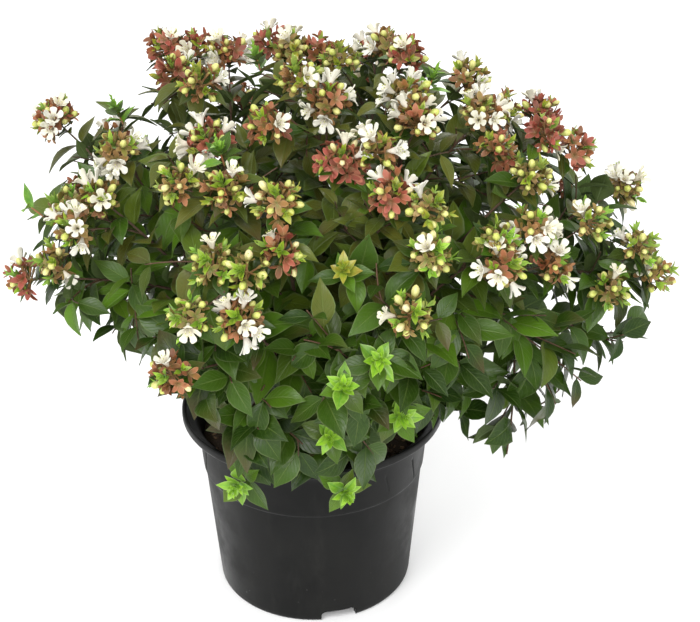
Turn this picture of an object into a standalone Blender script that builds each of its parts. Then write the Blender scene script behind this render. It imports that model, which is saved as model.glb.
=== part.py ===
"""Potted abelia: a dwarf flowering shrub in a 19 cm nursery pot.

Metres, +Z up. The origin is under the middle of the pot, on the surface that it stands on. -Y is the
front, where the young rosettes hang over the rim. The pot is turned, the compost fills it, and a woody
crown stands on the compost. Leafy shoots continue the crown's stems, and each stem tip carries a head.
"""

import math
import random

import bpy
from mathutils import Matrix, Vector
from mathutils.bvhtree import BVHTree

# ---------------------------------------------------------------- driving dimensions
GAP = 0.0003  # between pieces that touch

# pot
POT_HEIGHT = 0.145
RIM_RADIUS = 0.095
WALL_TOP_RADIUS = 0.084  # outer wall where the flare of the rim begins
BASE_RADIUS = 0.072
WALL = 0.0016
FLARE_HEIGHT = 0.015  # from the wall's top to the rim's top
LIP_FACE = 0.0055  # upright outer face of the lip
COLLAR_FOOT = 0.098  # height of the step that ends the collar
COLLAR_STEP = 0.0011
FOOT_WIDTH = 0.006
FOOT_ROUND = 0.0012
FOOT_RECESS = 0.002
PAD_RADIUS = 0.022  # flat pad in the middle of the underside, level with the foot
POT_SEGMENTS = 36
LUG_COUNT = 3  # stacking lugs under the flare
FIRST_LUG = 90  # azimuth of the lug at the back
LUG_WIDTH = 0.0030
LUG_HEIGHT = 0.015
LUG_PROUD = 0.0012
DRAIN_COUNT = 3  # slots through the foot and the edge of the floor
FIRST_DRAIN = -75  # azimuth of the slot near the front
DRAIN_WIDTH = 0.026
DRAIN_HEIGHT = 0.008
DRAIN_REACH = 0.004  # each slot's cutter past the foot on every side

# compost
SOIL_TOP = 0.121  # where it meets the wall
SOIL_CROWN = 0.126  # flat middle that the woody crown stands on
SOIL_FLAT_RADIUS = 0.018
SOIL_SHOULDER = 0.006

# woody crown and stems
BURL_RADIUS = 0.013
BURL_HEIGHT = 0.011
CROWN_STEM_RADIUS = 0.0021  # at the burl
SHOOT_RADIUS = 0.00168  # where a shoot continues a crown stem
SIDE_STEM_RADIUS = 0.00115
STEM_TIP_RADIUS = 0.0010
NODE_HEIGHT = 0.0024  # stretch of stem that a leaf pair grows out of
CROWN_SHARE = 0.34  # part of each main stem that belongs to the woody crown
FORK_SHARE = 0.52  # where along a main stem its side stems leave it
SIDE_STEM_START = 0.004  # from the main stem's face to the side stem's first full section
STEM_RISE = 0.10  # bow of a main stem over its chord, as a part of its length
ARCH_BELOW = 0.245  # main stems that end lower than this arch more
ARCH_RISE = 0.9  # how much more, for each metre that they end lower
SIDE_STEM_REACH = 0.35  # how far a side stem holds its first direction, as a part of its length
SIDE_STEM_RISE = 0.06

# leaves
LEAF_PITCH = 0.023  # between leaf pairs along a stem
LEAF_LENGTH = 0.038
LEAF_WIDTH = 0.019
LEAF_THICKNESS = 0.0009
LEAF_FOLD = 0.16  # rise of the margins over the midrib, as a part of the width
LEAF_DROOP = 0.10  # fall of the tip, as a part of the length
LEAF_CLEAR_ROOT = 0.003  # the first stretch of a leaf may lie near its own stem
LEAF_ATTEMPTS = 14

# heads
HEAD_AXIS = 0.008  # length of the stalk that the florets grow out of
HEAD_STALK_RADIUS = 0.0022
FLORET_RADIUS = 0.0085
OPEN_NOTCH = 0.72  # radius between the lobes of an open flower, as a part of its radius
CALYX_NOTCH = 0.34  # the same between the narrow sepals of a calyx
HEAD_ATTEMPTS = 12
HEAD_SWAY = 0.08
SEED = 11

# Leaves and stems stay out of this ring over the back of the rim, where water is poured on the compost.
WATER_GAP_RADII = (0.045, 0.125)
WATER_GAP_HEIGHTS = (0.122, 0.162)
WATER_GAP_AZIMUTHS = (60, 215)

# Each main stem with its tips: (azimuth in degrees from +X towards +Y, radius in mm, height in mm, head).
# The first tip ends the main stem, and the others end its side stems.
SHOOTS = (
    ((150, 112, 388, "calyx"), (133, 82, 380, "bloom")),
    ((170, 172, 345, "bloom"), (194, 122, 345, "bloom")),
    ((205, 140, 325, "bloom"), (196, 188, 268, "calyx")),
    ((226, 85, 362, "bloom"), (244, 105, 345, "bud")),
    ((262, 108, 342, "bud"), (248, 138, 312, "bud")),
    ((256, 150, 286, "bloom"), (241, 160, 246, "calyx")),
    ((50, 82, 384, "bloom"), (20, 112, 370, "bud")),
    ((290, 40, 380, "bloom"), (284, 90, 360, "calyx")),
    ((322, 86, 372, "bloom"), (345, 112, 368, "bloom")),
    ((296, 118, 346, "calyx"), (300, 146, 318, "bud")),
    ((293, 158, 288, "bud"), (279, 146, 240, "rosette")),
    ((315, 160, 318, "bud"), (326, 178, 300, "bloom")),
    ((336, 150, 340, "bud"), (13, 160, 346, "calyx")),
    ((4, 212, 302, "bloom"), (351, 228, 262, "bud"), (334, 150, 140, "leaf")),
    ((297, 126, 200, "rosette"), (277, 120, 190, "rosette")),
    ((248, 117, 148, "rosette"), (281, 117, 146, "rosette")),
    ((74, 140, 338, "bloom"), (44, 168, 306, "calyx")),
    ((112, 150, 322, "calyx"), (100, 66, 380, "bud")),
    ((140, 172, 290, "bud"), (92, 175, 262, "bloom")),
)

# base colour, roughness and coat of each material
FINISHES = {
    "pot_plastic": ((0.030, 0.030, 0.031), 0.42, 0.1),
    "compost": ((0.035, 0.022, 0.014), 0.95, 0.0),
    "bark": ((0.120, 0.050, 0.028), 0.70, 0.0),
    "leaf": ((0.035, 0.095, 0.022), 0.33, 0.3),
    "young_leaf": ((0.220, 0.480, 0.035), 0.40, 0.2),
    "calyx": ((0.300, 0.055, 0.035), 0.50, 0.0),
    "petal": ((0.850, 0.820, 0.780), 0.55, 0.0),
    "bud": ((0.520, 0.580, 0.180), 0.45, 0.0),
}

HEAD_NAMES = {
    "bloom": ("flower_head", "petal"),
    "calyx": ("calyx_head", "calyx"),
    "bud": ("bud_head", "bud"),
    "rosette": ("young_rosette", "young_leaf"),
}


# ---------------------------------------------------------------- helpers
def clear_scene():
    for thing in list(bpy.data.objects):
        bpy.data.objects.remove(thing, do_unlink=True)


def finish(name):
    """The named material, made on first use."""
    found = bpy.data.materials.get(name)
    if found:
        return found
    colour, roughness, coat = FINISHES[name]
    made = bpy.data.materials.new(name)
    made.use_nodes = True
    shader = made.node_tree.nodes["Principled BSDF"]
    shader.inputs["Base Color"].default_value = (*colour, 1.0)
    shader.inputs["Roughness"].default_value = roughness
    shader.inputs["Coat Weight"].default_value = coat
    return made


def add_object(name, shape, material=None):
    """An object with its own mesh, from a (vertices, faces) shape."""
    mesh = bpy.data.meshes.new(name)
    points, faces = shape
    mesh.from_pydata(points, [], faces)
    mesh.validate()
    mesh.update()
    made = bpy.data.objects.new(name, mesh)
    bpy.context.collection.objects.link(made)
    if material:
        mesh.materials.append(finish(material))
    return made


def merge(shapes):
    """One (vertices, faces) shape that holds all the given ones."""
    vertices = []
    faces = []
    for points, polygons in shapes:
        start = len(vertices)
        vertices.extend(points)
        faces.extend(tuple(start + corner for corner in polygon) for polygon in polygons)
    return vertices, faces


def combine(target, tool, operation):
    """Apply one exact Boolean to target's mesh and remove the tool object."""
    step = target.modifiers.new(operation.lower(), "BOOLEAN")
    step.operation = operation
    step.object = tool
    step.solver = "EXACT"
    step.use_self = operation == "UNION"
    state = bpy.context.evaluated_depsgraph_get()
    result = bpy.data.meshes.new_from_object(target.evaluated_get(state))
    target.modifiers.clear()
    target.data = result
    bpy.data.objects.remove(tool, do_unlink=True)


def fuse(name, shapes, material):
    """One closed body from closed shapes that all reach into the first one."""
    body = add_object(name, merge(shapes[1:]), material)
    combine(body, add_object(name + "_core", shapes[0]), "UNION")
    body.data.name = name
    return body


def shade_round(thing, degrees=35):
    thing.data.shade_smooth()
    thing.data.set_sharp_from_angle(angle=math.radians(degrees))


def polar(azimuth, radius, height):
    """A point from an azimuth in degrees, a radius and a height."""
    turn = math.radians(azimuth)
    return Vector((radius * math.cos(turn), radius * math.sin(turn), height))


def lathe(profile, segments):
    """A closed turned shape. The profile runs from the axis to the axis, anticlockwise in (radius, z)."""
    points = [Vector((0, 0, profile[0][1])), Vector((0, 0, profile[-1][1]))]
    rings = profile[1:-1]
    for radius, height in rings:
        points += [polar(360 * k / segments, radius, height) for k in range(segments)]
    faces = []
    for k in range(segments):
        after = (k + 1) % segments
        faces.append((0, 2 + after, 2 + k))
        for ring in range(len(rings) - 1):
            low = 2 + ring * segments
            high = low + segments
            faces.append((low + k, low + after, high + after, high + k))
        top = 2 + (len(rings) - 1) * segments
        faces.append((1, top + k, top + after))
    return points, faces


def arc(centre, radius, start, end, steps):
    """Points of an arc in (radius, z), angles in degrees."""
    turns = [math.radians(start + (end - start) * k / steps) for k in range(steps + 1)]
    return [(centre[0] + radius * math.cos(a), centre[1] + radius * math.sin(a)) for a in turns]


# ---------------------------------------------------------------- pot and compost
FLARE_FOOT = POT_HEIGHT - FLARE_HEIGHT
LIP_FOOT = POT_HEIGHT - LIP_FACE
FLOOR_TOP = FOOT_RECESS + WALL


def wall_radius(height):
    """Outer radius of the plain tapered wall below the collar's step."""
    top = WALL_TOP_RADIUS - COLLAR_STEP
    return BASE_RADIUS + (top - BASE_RADIUS) * height / FLARE_FOOT


def inner_wall_radius(height):
    """Inner radius of the wall, which is one straight taper from the floor to the flare."""
    return wall_radius(height) - WALL


def pot_profile():
    """Outline of the pot's section, from the middle of the underside round to the middle of the floor."""
    lip = WALL * 0.7
    underside = [
        (0.0, 0.0),
        (PAD_RADIUS, 0.0),
        (PAD_RADIUS + FOOT_RECESS, FOOT_RECESS),
        (BASE_RADIUS - FOOT_WIDTH - FOOT_RECESS, FOOT_RECESS),
        (BASE_RADIUS - FOOT_WIDTH, 0.0),
        (BASE_RADIUS - FOOT_ROUND, 0.0),
        (wall_radius(FOOT_ROUND), FOOT_ROUND),
    ]
    outside = [
        (wall_radius(COLLAR_FOOT), COLLAR_FOOT),
        (wall_radius(COLLAR_FOOT) + COLLAR_STEP, COLLAR_FOOT + COLLAR_STEP),
        (WALL_TOP_RADIUS, FLARE_FOOT),
        (WALL_TOP_RADIUS + 2 * lip, FLARE_FOOT + 2.5 * lip),
        (RIM_RADIUS - 2 * lip, LIP_FOOT - lip),
        (RIM_RADIUS, LIP_FOOT),
    ]
    rim = arc((RIM_RADIUS - lip, POT_HEIGHT - lip), lip, 0, 180, 4)
    inside = [
        (RIM_RADIUS - 2.2 * lip, LIP_FOOT + 1.8 * lip),
        (RIM_RADIUS - 5.5 * lip, LIP_FOOT + 0.4 * lip),
        (RIM_RADIUS - 6.6 * lip, LIP_FOOT - 1.6 * lip),
        (inner_wall_radius(FLARE_FOOT), FLARE_FOOT),
        (inner_wall_radius(0.0), FLOOR_TOP),
    ]
    return underside + outside + rim + inside + [(0.0, FLOOR_TOP)]


def box_at(azimuth, inner, outer, across, low, high):
    """A box that points outwards from the axis at the azimuth."""
    turn = Matrix.Rotation(math.radians(azimuth), 3, "Z")
    half = across / 2
    outline = ((inner, -half), (outer, -half), (outer, half), (inner, half))
    corners = [turn @ Vector((x, y, z)) for z in (low, high) for x, y in outline]
    faces = [(3, 2, 1, 0), (4, 5, 6, 7), (0, 1, 5, 4), (1, 2, 6, 5), (2, 3, 7, 6), (3, 0, 4, 7)]
    return corners, faces


def make_pot():
    pot = add_object("nursery_pot", lathe(pot_profile(), POT_SEGMENTS), "pot_plastic")
    lug_top = FLARE_FOOT + WALL / 2
    for k in range(LUG_COUNT):
        azimuth = FIRST_LUG + 360 * k / LUG_COUNT
        outer = WALL_TOP_RADIUS + LUG_PROUD
        lug = box_at(azimuth, outer - LUG_PROUD - WALL, outer, LUG_WIDTH, lug_top - LUG_HEIGHT, lug_top)
        combine(pot, add_object("lug", lug), "UNION")
    for k in range(DRAIN_COUNT):
        azimuth = FIRST_DRAIN + 360 * k / DRAIN_COUNT
        inner = BASE_RADIUS - FOOT_WIDTH - DRAIN_REACH
        slot = box_at(azimuth, inner, BASE_RADIUS + DRAIN_REACH, DRAIN_WIDTH, -DRAIN_REACH, DRAIN_HEIGHT)
        combine(pot, add_object("drain", slot), "DIFFERENCE")
    pot.data.name = "nursery_pot"
    shade_round(pot)
    return pot


def make_compost():
    """Turned to the pot's inside, one gap clear of it, and level in the middle for the woody crown."""
    floor = FLOOR_TOP + GAP
    edge = inner_wall_radius(SOIL_TOP) - GAP
    profile = [
        (0.0, floor),
        (inner_wall_radius(0.0) - GAP, floor),
        (edge, SOIL_TOP),
        (edge - SOIL_SHOULDER, SOIL_TOP + SOIL_SHOULDER * 0.4),
        (edge * 0.6, SOIL_CROWN - SOIL_SHOULDER * 0.15),
        (SOIL_FLAT_RADIUS, SOIL_CROWN),
        (0.0, SOIL_CROWN),
    ]
    compost = add_object("potting_soil", lathe(profile, POT_SEGMENTS), "compost")
    shade_round(compost)
    return compost


# ---------------------------------------------------------------- growing meshes
class Path:
    """A stem's centre line: a quadratic curve from start to end, bent towards its middle point."""

    def __init__(self, start, middle, end):
        self.start = start
        self.middle = middle
        self.end = end
        sideways = (middle - start).cross(end - start)
        if sideways.length < 1e-9:
            sideways = (end - start).cross(Vector((0.3, 0.2, 1)))
        self.sideways = sideways.normalized()

    def at(self, share):
        rest = 1 - share
        return rest * rest * self.start + 2 * rest * share * self.middle + share * share * self.end

    def direction(self, share):
        slope = (1 - share) * (self.middle - self.start) + share * (self.end - self.middle)
        return slope.normalized()

    def length(self, low=0.0, high=1.0, steps=12):
        marks = [self.at(low + (high - low) * k / steps) for k in range(steps + 1)]
        return sum((after - mark).length for mark, after in zip(marks, marks[1:], strict=False))


class Growth:
    """One closed mesh that grows: a stem first, then side stems, leaves and florets out of its faces.

    A loop is a list of point numbers that runs anticlockwise seen from outside. Loops that nothing
    grows out of are closed with one face.
    """

    def __init__(self):
        self.points = []
        self.faces = []

    def ring(self, points):
        first = len(self.points)
        self.points.extend(points)
        return list(range(first, len(self.points)))

    def middle(self, loop):
        return sum((self.points[k] for k in loop), Vector()) / len(loop)

    def outwards(self, loop):
        a, b, c = (self.points[k] for k in loop[:3])
        return (b - a).cross(c - a).normalized()

    def bridge(self, low, high):
        """Triangles between two loops, turned so that they lie as straight as they can."""
        low_count = len(low)
        high_count = len(high)

        def stretch(turn):
            total = 0.0
            for j in range(high_count):
                here = self.points[low[j * low_count // high_count]]
                total += (self.points[high[(j + turn) % high_count]] - here).length
            return total

        turn = min(range(high_count), key=stretch)
        i = 0
        j = 0
        while i < low_count or j < high_count:
            here = low[i % low_count]
            there = high[(j + turn) % high_count]
            if (i + 1) * high_count <= (j + 1) * low_count:
                self.faces.append((here, low[(i + 1) % low_count], there))
                i += 1
            else:
                self.faces.append((here, high[(j + 1 + turn) % high_count], there))
                j += 1

    def close(self, loop, apex):
        """A fan from the loop to one point."""
        self.points.append(apex)
        top = len(self.points) - 1
        for k, point in enumerate(loop):
            self.faces.append((point, loop[(k + 1) % len(loop)], top))

    def stem(self, path, shares, thick, thin, root=None):
        """A four-sided stem along the path. It returns the side loops at each share, and the end loop."""
        half = NODE_HEIGHT / 2 / path.length()
        low, *nodes, high = shares
        marks = [low] + [mark for share in nodes for mark in (share - half, share + half)] + [high]
        rings = []
        for mark in marks:
            radius = thick + (thin - thick) * (mark - low) / (high - low)
            rings.append(self.ring(cross_section(path, mark, radius)))
        if root:
            self.bridge(root, rings[0])
        else:
            self.faces.append(tuple(reversed(rings[0])))
        sites = []
        for number, (lower, upper) in enumerate(zip(rings, rings[1:], strict=False)):
            loops = [[lower[k], lower[(k + 1) % 4], upper[(k + 1) % 4], upper[k]] for k in range(4)]
            if number % 2:
                sites.append(loops)
            else:
                self.fill(loops)
        return sites, rings[-1]

    def fill(self, loops):
        self.faces.extend(tuple(loop) for loop in loops)

    def organ(self, root, shape, frame):
        """A leaf, bud or floret out of a loop. Its shape is one ring and one far point."""
        ring, apex = shape
        loop = self.ring([frame @ point for point in ring])
        self.bridge(root, loop)
        self.close(loop, frame @ apex)

    def clear_organ(self, root, shape, frame, nearby):
        """Grow an organ, and take it back if it runs through itself or a face nearby. True if it stays."""
        point_count = len(self.points)
        face_count = len(self.faces)
        self.organ(root, shape, frame)
        grown = self.faces[face_count:]
        others = nearby + grown
        grown_tree = BVHTree.FromPolygons(self.points, grown)
        crossings = grown_tree.overlap(BVHTree.FromPolygons(self.points, others))
        if all(set(grown[a]) & set(others[b]) for a, b in crossings):
            return True
        del self.points[point_count:]
        del self.faces[face_count:]
        return False


def cross_section(path, share, radius):
    """Four corners of a stem, anticlockwise seen from its tip."""
    upright = path.sideways.cross(path.direction(share))
    corners = []
    for k in range(4):
        turn = math.radians(45 + 90 * k)
        corners.append(path.at(share) + radius * (math.sin(turn) * path.sideways + math.cos(turn) * upright))
    return corners


def frame_at(origin, along, up):
    """A frame whose +Y lies along a direction and whose +Z is as near to up as that allows."""
    forward = along.normalized()
    side = forward.cross(up)
    if side.length < 0.05:
        side = forward.cross(Vector((1, 0, 0)))
    side.normalize()
    turn = Matrix((side, forward, side.cross(forward))).transposed().to_4x4()
    return Matrix.Translation(origin) @ turn


# ---------------------------------------------------------------- organs, each along +Y from its root
def leaf_shape(length, width, thickness=LEAF_THICKNESS):
    """A leaf folded along its midrib, with its upper side towards +Z."""
    middle = 0.42 * length
    ring = [
        Vector((-width / 2, middle, LEAF_FOLD * width)),
        Vector((0, middle, thickness / 2)),
        Vector((width / 2, middle, LEAF_FOLD * width)),
        Vector((0, middle, -thickness / 2)),
    ]
    return ring, Vector((0, length, -LEAF_DROOP * length))


def star_shape(length, radius, notch, points=5):
    """A funnel that opens to a flat star, for a calyx or an open flower."""
    ring = []
    for k in range(2 * points):
        turn = math.pi * k / points
        reach = radius if k % 2 == 0 else radius * notch
        ring.append(Vector((reach * math.sin(turn), length, reach * math.cos(turn))))
    return ring, Vector((0, length * 0.86, 0))


def bud_shape(length, radius):
    """A closed bud, thickest near its far end."""
    turns = [math.radians(90 * k) for k in range(4)]
    ring = [Vector((radius * math.sin(turn), 0.72 * length, radius * math.cos(turn))) for turn in turns]
    return ring, Vector((0, length, 0))


# ---------------------------------------------------------------- keeping leaves clear of each other
class Obstacles:
    """The solids placed so far, so that a new leaf can be kept clear of them."""

    def __init__(self):
        self.trees = []

    def add(self, solid, owner=None):
        self.trees.append((owner, *bounds(solid.points), BVHTree.FromPolygons(solid.points, solid.faces)))

    def touches(self, solid, except_owner=None):
        low, high = bounds(solid.points)
        mine = BVHTree.FromPolygons(solid.points, solid.faces)
        for owner, other_low, other_high, tree in self.trees:
            apart = any(low[k] > other_high[k] or high[k] < other_low[k] for k in range(3))
            skipped = except_owner is not None and owner is except_owner
            if not apart and not skipped and mine.overlap(tree):
                return True
        return False


def bounds(points):
    low = [min(point[axis] for point in points) for axis in range(3)]
    high = [max(point[axis] for point in points) for axis in range(3)]
    return low, high


def in_water_gap(points):
    for point in points:
        radius = math.hypot(point.x, point.y)
        azimuth = math.degrees(math.atan2(point.y, point.x)) % 360
        if (
            WATER_GAP_RADII[0] < radius < WATER_GAP_RADII[1]
            and WATER_GAP_HEIGHTS[0] < point.z < WATER_GAP_HEIGHTS[1]
            and WATER_GAP_AZIMUTHS[0] < azimuth < WATER_GAP_AZIMUTHS[1]
        ):
            return True
    return False


def leaf_envelope(length, width, frame, start):
    """A closed shape a little larger than the leaf, from a start along it."""
    envelope = Growth()
    corners = ((-0.0015, 0), (0, 0.0015), (0.0015, 0), (0, -0.0015))
    loop = envelope.ring([frame @ Vector((x, start, z)) for x, z in corners])
    envelope.faces.append(tuple(reversed(loop)))
    envelope.organ(loop, leaf_shape(length * 1.04, width * 1.08, 2.5 * LEAF_THICKNESS), frame)
    return envelope


def fit_leaf(growth, root, axis, stem_faces, obstacles, chance):
    """A leaf out of the loop, turned or made smaller until it is clear. It is left out if it never is."""
    origin = growth.middle(root)
    out = growth.outwards(root)
    across = out.cross(axis)
    for attempt in range(LEAF_ATTEMPTS):
        sway = chance.uniform(-0.35, 0.35) * (1 + attempt / 5)
        hang = Vector((0, 0, chance.uniform(-0.35, 0.05)))
        along = out + across * sway + axis * chance.uniform(0.25, 0.8) + hang
        size = chance.uniform(0.85, 1.2) * (1 - 0.03 * attempt)
        frame = frame_at(origin, along, axis + Vector((0, 0, 0.8)))
        length = LEAF_LENGTH * size
        width = LEAF_WIDTH * size
        whole = leaf_envelope(length, width, frame, 0.0)
        blade = leaf_envelope(length, width, frame, LEAF_CLEAR_ROOT)
        if obstacles.touches(whole, growth) or obstacles.touches(blade) or in_water_gap(whole.points):
            continue
        if growth.clear_organ(root, leaf_shape(length, width), frame, stem_faces):
            obstacles.add(whole, growth)
            return
    growth.fill([root])


# ---------------------------------------------------------------- the plant
def tip_point(tip):
    azimuth, radius, height = tip[:3]
    return polar(azimuth, radius / 1000, height / 1000)


def main_path(tip):
    """Main stems rise from the burl and lean out. Those that end low arch over the rim on their way."""
    end = tip_point(tip)
    start = polar(tip[0], BURL_RADIUS * 0.45, SOIL_CROWN + BURL_HEIGHT * 0.6)
    middle = start.lerp(end, 0.5)
    middle.z += max(0.0, ARCH_BELOW - end.z) * ARCH_RISE + STEM_RISE * (end - start).length
    return Path(start, middle, end)


def side_path(start, leaving, tip):
    end = tip_point(tip)
    reach = (end - start).length
    middle = start + leaving * SIDE_STEM_REACH * reach
    middle.z += SIDE_STEM_RISE * reach
    return Path(start, middle, end)


def node_shares(path, low, high):
    """Where leaf pairs grow on the stretch, with the stretch's own ends first and last."""
    count = max(1, round(path.length(low, high) / LEAF_PITCH))
    return [low] + [low + (high - low) * (k + 0.6) / count for k in range(count)] + [high]


class Shoot:
    """One main stem beyond the crown with its side stems. Stems first, and leaves once all stems stand."""

    def __init__(self, tips):
        self.growth = Growth()
        path = main_path(tips[0])
        shares = node_shares(path, CROWN_SHARE + GAP / path.length(), 1.0)
        sites, end = self.growth.stem(path, shares, SHOOT_RADIUS, STEM_TIP_RADIUS)
        self.growth.fill([end])
        self.stems = [(path, list(zip(shares[1:-1], sites, strict=True)))]
        fork = min(range(len(sites)), key=lambda k: abs(shares[k + 1] - FORK_SHARE))
        for number, tip in enumerate(tips[1:]):
            share, loops = self.stems[0][1][fork + number]
            self.branch(loops, tip)

    def branch(self, loops, tip):
        """A side stem out of whichever of the four loops faces its tip best."""
        growth = self.growth

        def towards_tip(loop):
            return (tip_point(tip) - growth.middle(loop)).normalized()

        root = max(loops, key=lambda loop: growth.outwards(loop).dot(towards_tip(loop)))
        loops.remove(root)
        leaving = growth.outwards(root) + towards_tip(root)
        path = side_path(growth.middle(root), leaving.normalized(), tip)
        shares = node_shares(path, SIDE_STEM_START / path.length(), 1.0)
        sites, end = growth.stem(path, shares, SIDE_STEM_RADIUS, STEM_TIP_RADIUS, root)
        growth.fill([end])
        self.stems.append((path, list(zip(shares[1:-1], sites, strict=True))))

    def stems_alone(self):
        """The stems as a closed mesh of their own, with every loop filled."""
        bare = Growth()
        bare.points = list(self.growth.points)
        bare.faces = list(self.growth.faces)
        for _, sites in self.stems:
            for _, loops in sites:
                bare.fill(loops)
        return bare

    def add_leaves(self, obstacles, chance):
        """Opposite pairs, each turned a quarter from the pair below it."""
        growth = self.growth
        stem_faces = self.stems_alone().faces
        for path, sites in self.stems:
            for number, (share, loops) in enumerate(sites):
                axis = path.direction(share)
                level = [loop for loop in loops if abs(growth.outwards(loop).dot(path.sideways)) > 0.7]
                for loop in loops:
                    if (loop in level) == (number % 2 == 0):
                        fit_leaf(growth, loop, axis, stem_faces, obstacles, chance)
                    else:
                        growth.fill([loop])


def make_head(kind, path, chance):
    """A head past a stem's end: a short stalk that swells, with florets out of its sides and its end."""
    growth = Growth()
    axis = path.direction(1)
    foot = path.at(1) + axis * GAP
    stalk = Path(foot, foot + axis * HEAD_AXIS / 2 + path.sideways * 0.0004, foot + axis * HEAD_AXIS)
    shares = (0.0, 0.45, 0.8, 1.0)
    (lower, upper), end = growth.stem(stalk, shares, HEAD_STALK_RADIUS, HEAD_STALK_RADIUS)
    loops = [tuple(loop) for loop in lower + upper + [end]]

    def grow(root, shape, tilt):
        lean = math.radians(tilt)
        along = axis * math.cos(lean) + growth.outwards(root) * math.sin(lean)
        for _ in range(HEAD_ATTEMPTS):
            sway = HEAD_SWAY * Vector(chance.uniform(-1, 1) for _ in range(3))
            frame = frame_at(growth.middle(root), along + sway, axis + path.sideways * 0.3)
            if growth.clear_organ(root, shape, frame, growth.faces + loops):
                return
        growth.fill([root])

    for root in lower:
        grow(root, *lower_organ(kind))
    if kind == "rosette":
        for root in upper:
            grow(root, leaf_shape(0.013, 0.006), 28)
        growth.fill([end])
    else:
        growth.fill(upper)
        grow(end, *top_organ(kind))
    return growth


def lower_organ(kind):
    """What grows out of a head's four sides, and how far it leans from the head's axis in degrees."""
    return {
        "bloom": (star_shape(0.016, FLORET_RADIUS, OPEN_NOTCH), 66),
        "calyx": (star_shape(0.014, FLORET_RADIUS, CALYX_NOTCH), 72),
        "bud": (star_shape(0.013, FLORET_RADIUS - 0.0005, CALYX_NOTCH), 70),
        "rosette": (leaf_shape(0.021, 0.0095), 64),
    }[kind]


def top_organ(kind):
    return {
        "bloom": (star_shape(0.017, FLORET_RADIUS, OPEN_NOTCH), 0),
        "calyx": (star_shape(0.013, FLORET_RADIUS, CALYX_NOTCH), 0),
        "bud": (bud_shape(0.016, 0.0032), 0),
    }[kind]


def burl():
    """The woody knot at the soil that the main stems grow from."""
    foot = SOIL_CROWN + GAP
    profile = [
        (0.0, foot),
        (BURL_RADIUS, foot),
        (BURL_RADIUS, foot + BURL_HEIGHT * 0.55),
        (BURL_RADIUS * 0.6, foot + BURL_HEIGHT),
        (0.0, foot + BURL_HEIGHT),
    ]
    return lathe(profile, 12)


def crown_stems():
    shapes = []
    for tips in SHOOTS:
        stem = Growth()
        shares = (0.0, CROWN_SHARE * 0.5, CROWN_SHARE)
        sites, end = stem.stem(main_path(tips[0]), shares, CROWN_STEM_RADIUS, SHOOT_RADIUS)
        stem.fill(sites[0] + [end])
        shapes.append(stem)
    return shapes


def grow_plant(pot, compost):
    chance = random.Random(SEED)
    obstacles = Obstacles()
    for thing in (pot, compost):
        solid = Growth()
        solid.points = [vertex.co.copy() for vertex in thing.data.vertices]
        solid.faces = [tuple(polygon.vertices) for polygon in thing.data.polygons]
        obstacles.add(solid)

    crown = crown_stems()
    shoots = [Shoot(tips) for tips in SHOOTS]
    heads = []
    for shoot, tips in zip(shoots, SHOOTS, strict=True):
        for (path, _), tip in zip(shoot.stems, tips, strict=True):
            if tip[3] in HEAD_NAMES:
                heads.append((tip[3], make_head(tip[3], path, chance)))
    for solid in crown + [head for _, head in heads]:
        obstacles.add(solid)
    for shoot in shoots:
        obstacles.add(shoot.stems_alone(), shoot.growth)

    fuse("woody_crown", [burl()] + [(stem.points, stem.faces) for stem in crown], "bark")
    for number, shoot in enumerate(shoots, start=1):
        shoot.add_leaves(obstacles, chance)
        add_object(f"shoot_{number:02d}", (shoot.growth.points, shoot.growth.faces), "leaf")
    counts = dict.fromkeys(HEAD_NAMES, 0)
    for kind, head in heads:
        counts[kind] += 1
        name, slot = HEAD_NAMES[kind]
        add_object(f"{name}_{counts[kind]:02d}", (head.points, head.faces), slot)


def main():
    clear_scene()
    pot = make_pot()
    compost = make_compost()
    grow_plant(pot, compost)


main()
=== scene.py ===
"""Potted abelia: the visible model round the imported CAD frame.

Metres, +Z up, in the CAD's frame. The stems follow the CAD's shoots, and every flower head stands where
the CAD has it. Side twigs, the leaves and the small florets are grown from those places here.
"""

from collections import defaultdict
from functools import cache
from itertools import product
from math import ceil, cos, degrees, pi, radians, sin, sqrt

import bpy
import numpy as np
from mathutils import Matrix, Vector, noise
from numpy.linalg import norm


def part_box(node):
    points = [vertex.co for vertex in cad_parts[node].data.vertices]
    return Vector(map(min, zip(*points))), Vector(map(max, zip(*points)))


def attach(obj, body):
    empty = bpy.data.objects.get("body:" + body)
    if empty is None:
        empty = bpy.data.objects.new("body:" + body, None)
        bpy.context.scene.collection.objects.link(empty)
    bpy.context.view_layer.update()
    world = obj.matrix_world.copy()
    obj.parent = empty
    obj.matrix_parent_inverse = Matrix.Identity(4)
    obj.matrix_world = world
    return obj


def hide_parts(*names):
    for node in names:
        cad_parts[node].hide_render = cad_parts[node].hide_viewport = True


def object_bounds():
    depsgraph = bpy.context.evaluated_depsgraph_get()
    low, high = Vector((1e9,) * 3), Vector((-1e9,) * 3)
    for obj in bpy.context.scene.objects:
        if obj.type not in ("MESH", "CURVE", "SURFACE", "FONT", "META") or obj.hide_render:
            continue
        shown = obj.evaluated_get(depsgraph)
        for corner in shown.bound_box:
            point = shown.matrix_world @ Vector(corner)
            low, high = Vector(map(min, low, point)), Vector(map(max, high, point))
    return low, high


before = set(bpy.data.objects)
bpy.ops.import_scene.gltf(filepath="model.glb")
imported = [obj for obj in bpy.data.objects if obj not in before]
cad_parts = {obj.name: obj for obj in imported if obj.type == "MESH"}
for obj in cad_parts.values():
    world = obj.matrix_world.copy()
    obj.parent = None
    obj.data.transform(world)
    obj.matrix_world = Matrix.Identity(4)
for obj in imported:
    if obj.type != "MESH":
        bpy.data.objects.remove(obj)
cad_low, cad_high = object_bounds()

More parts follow.
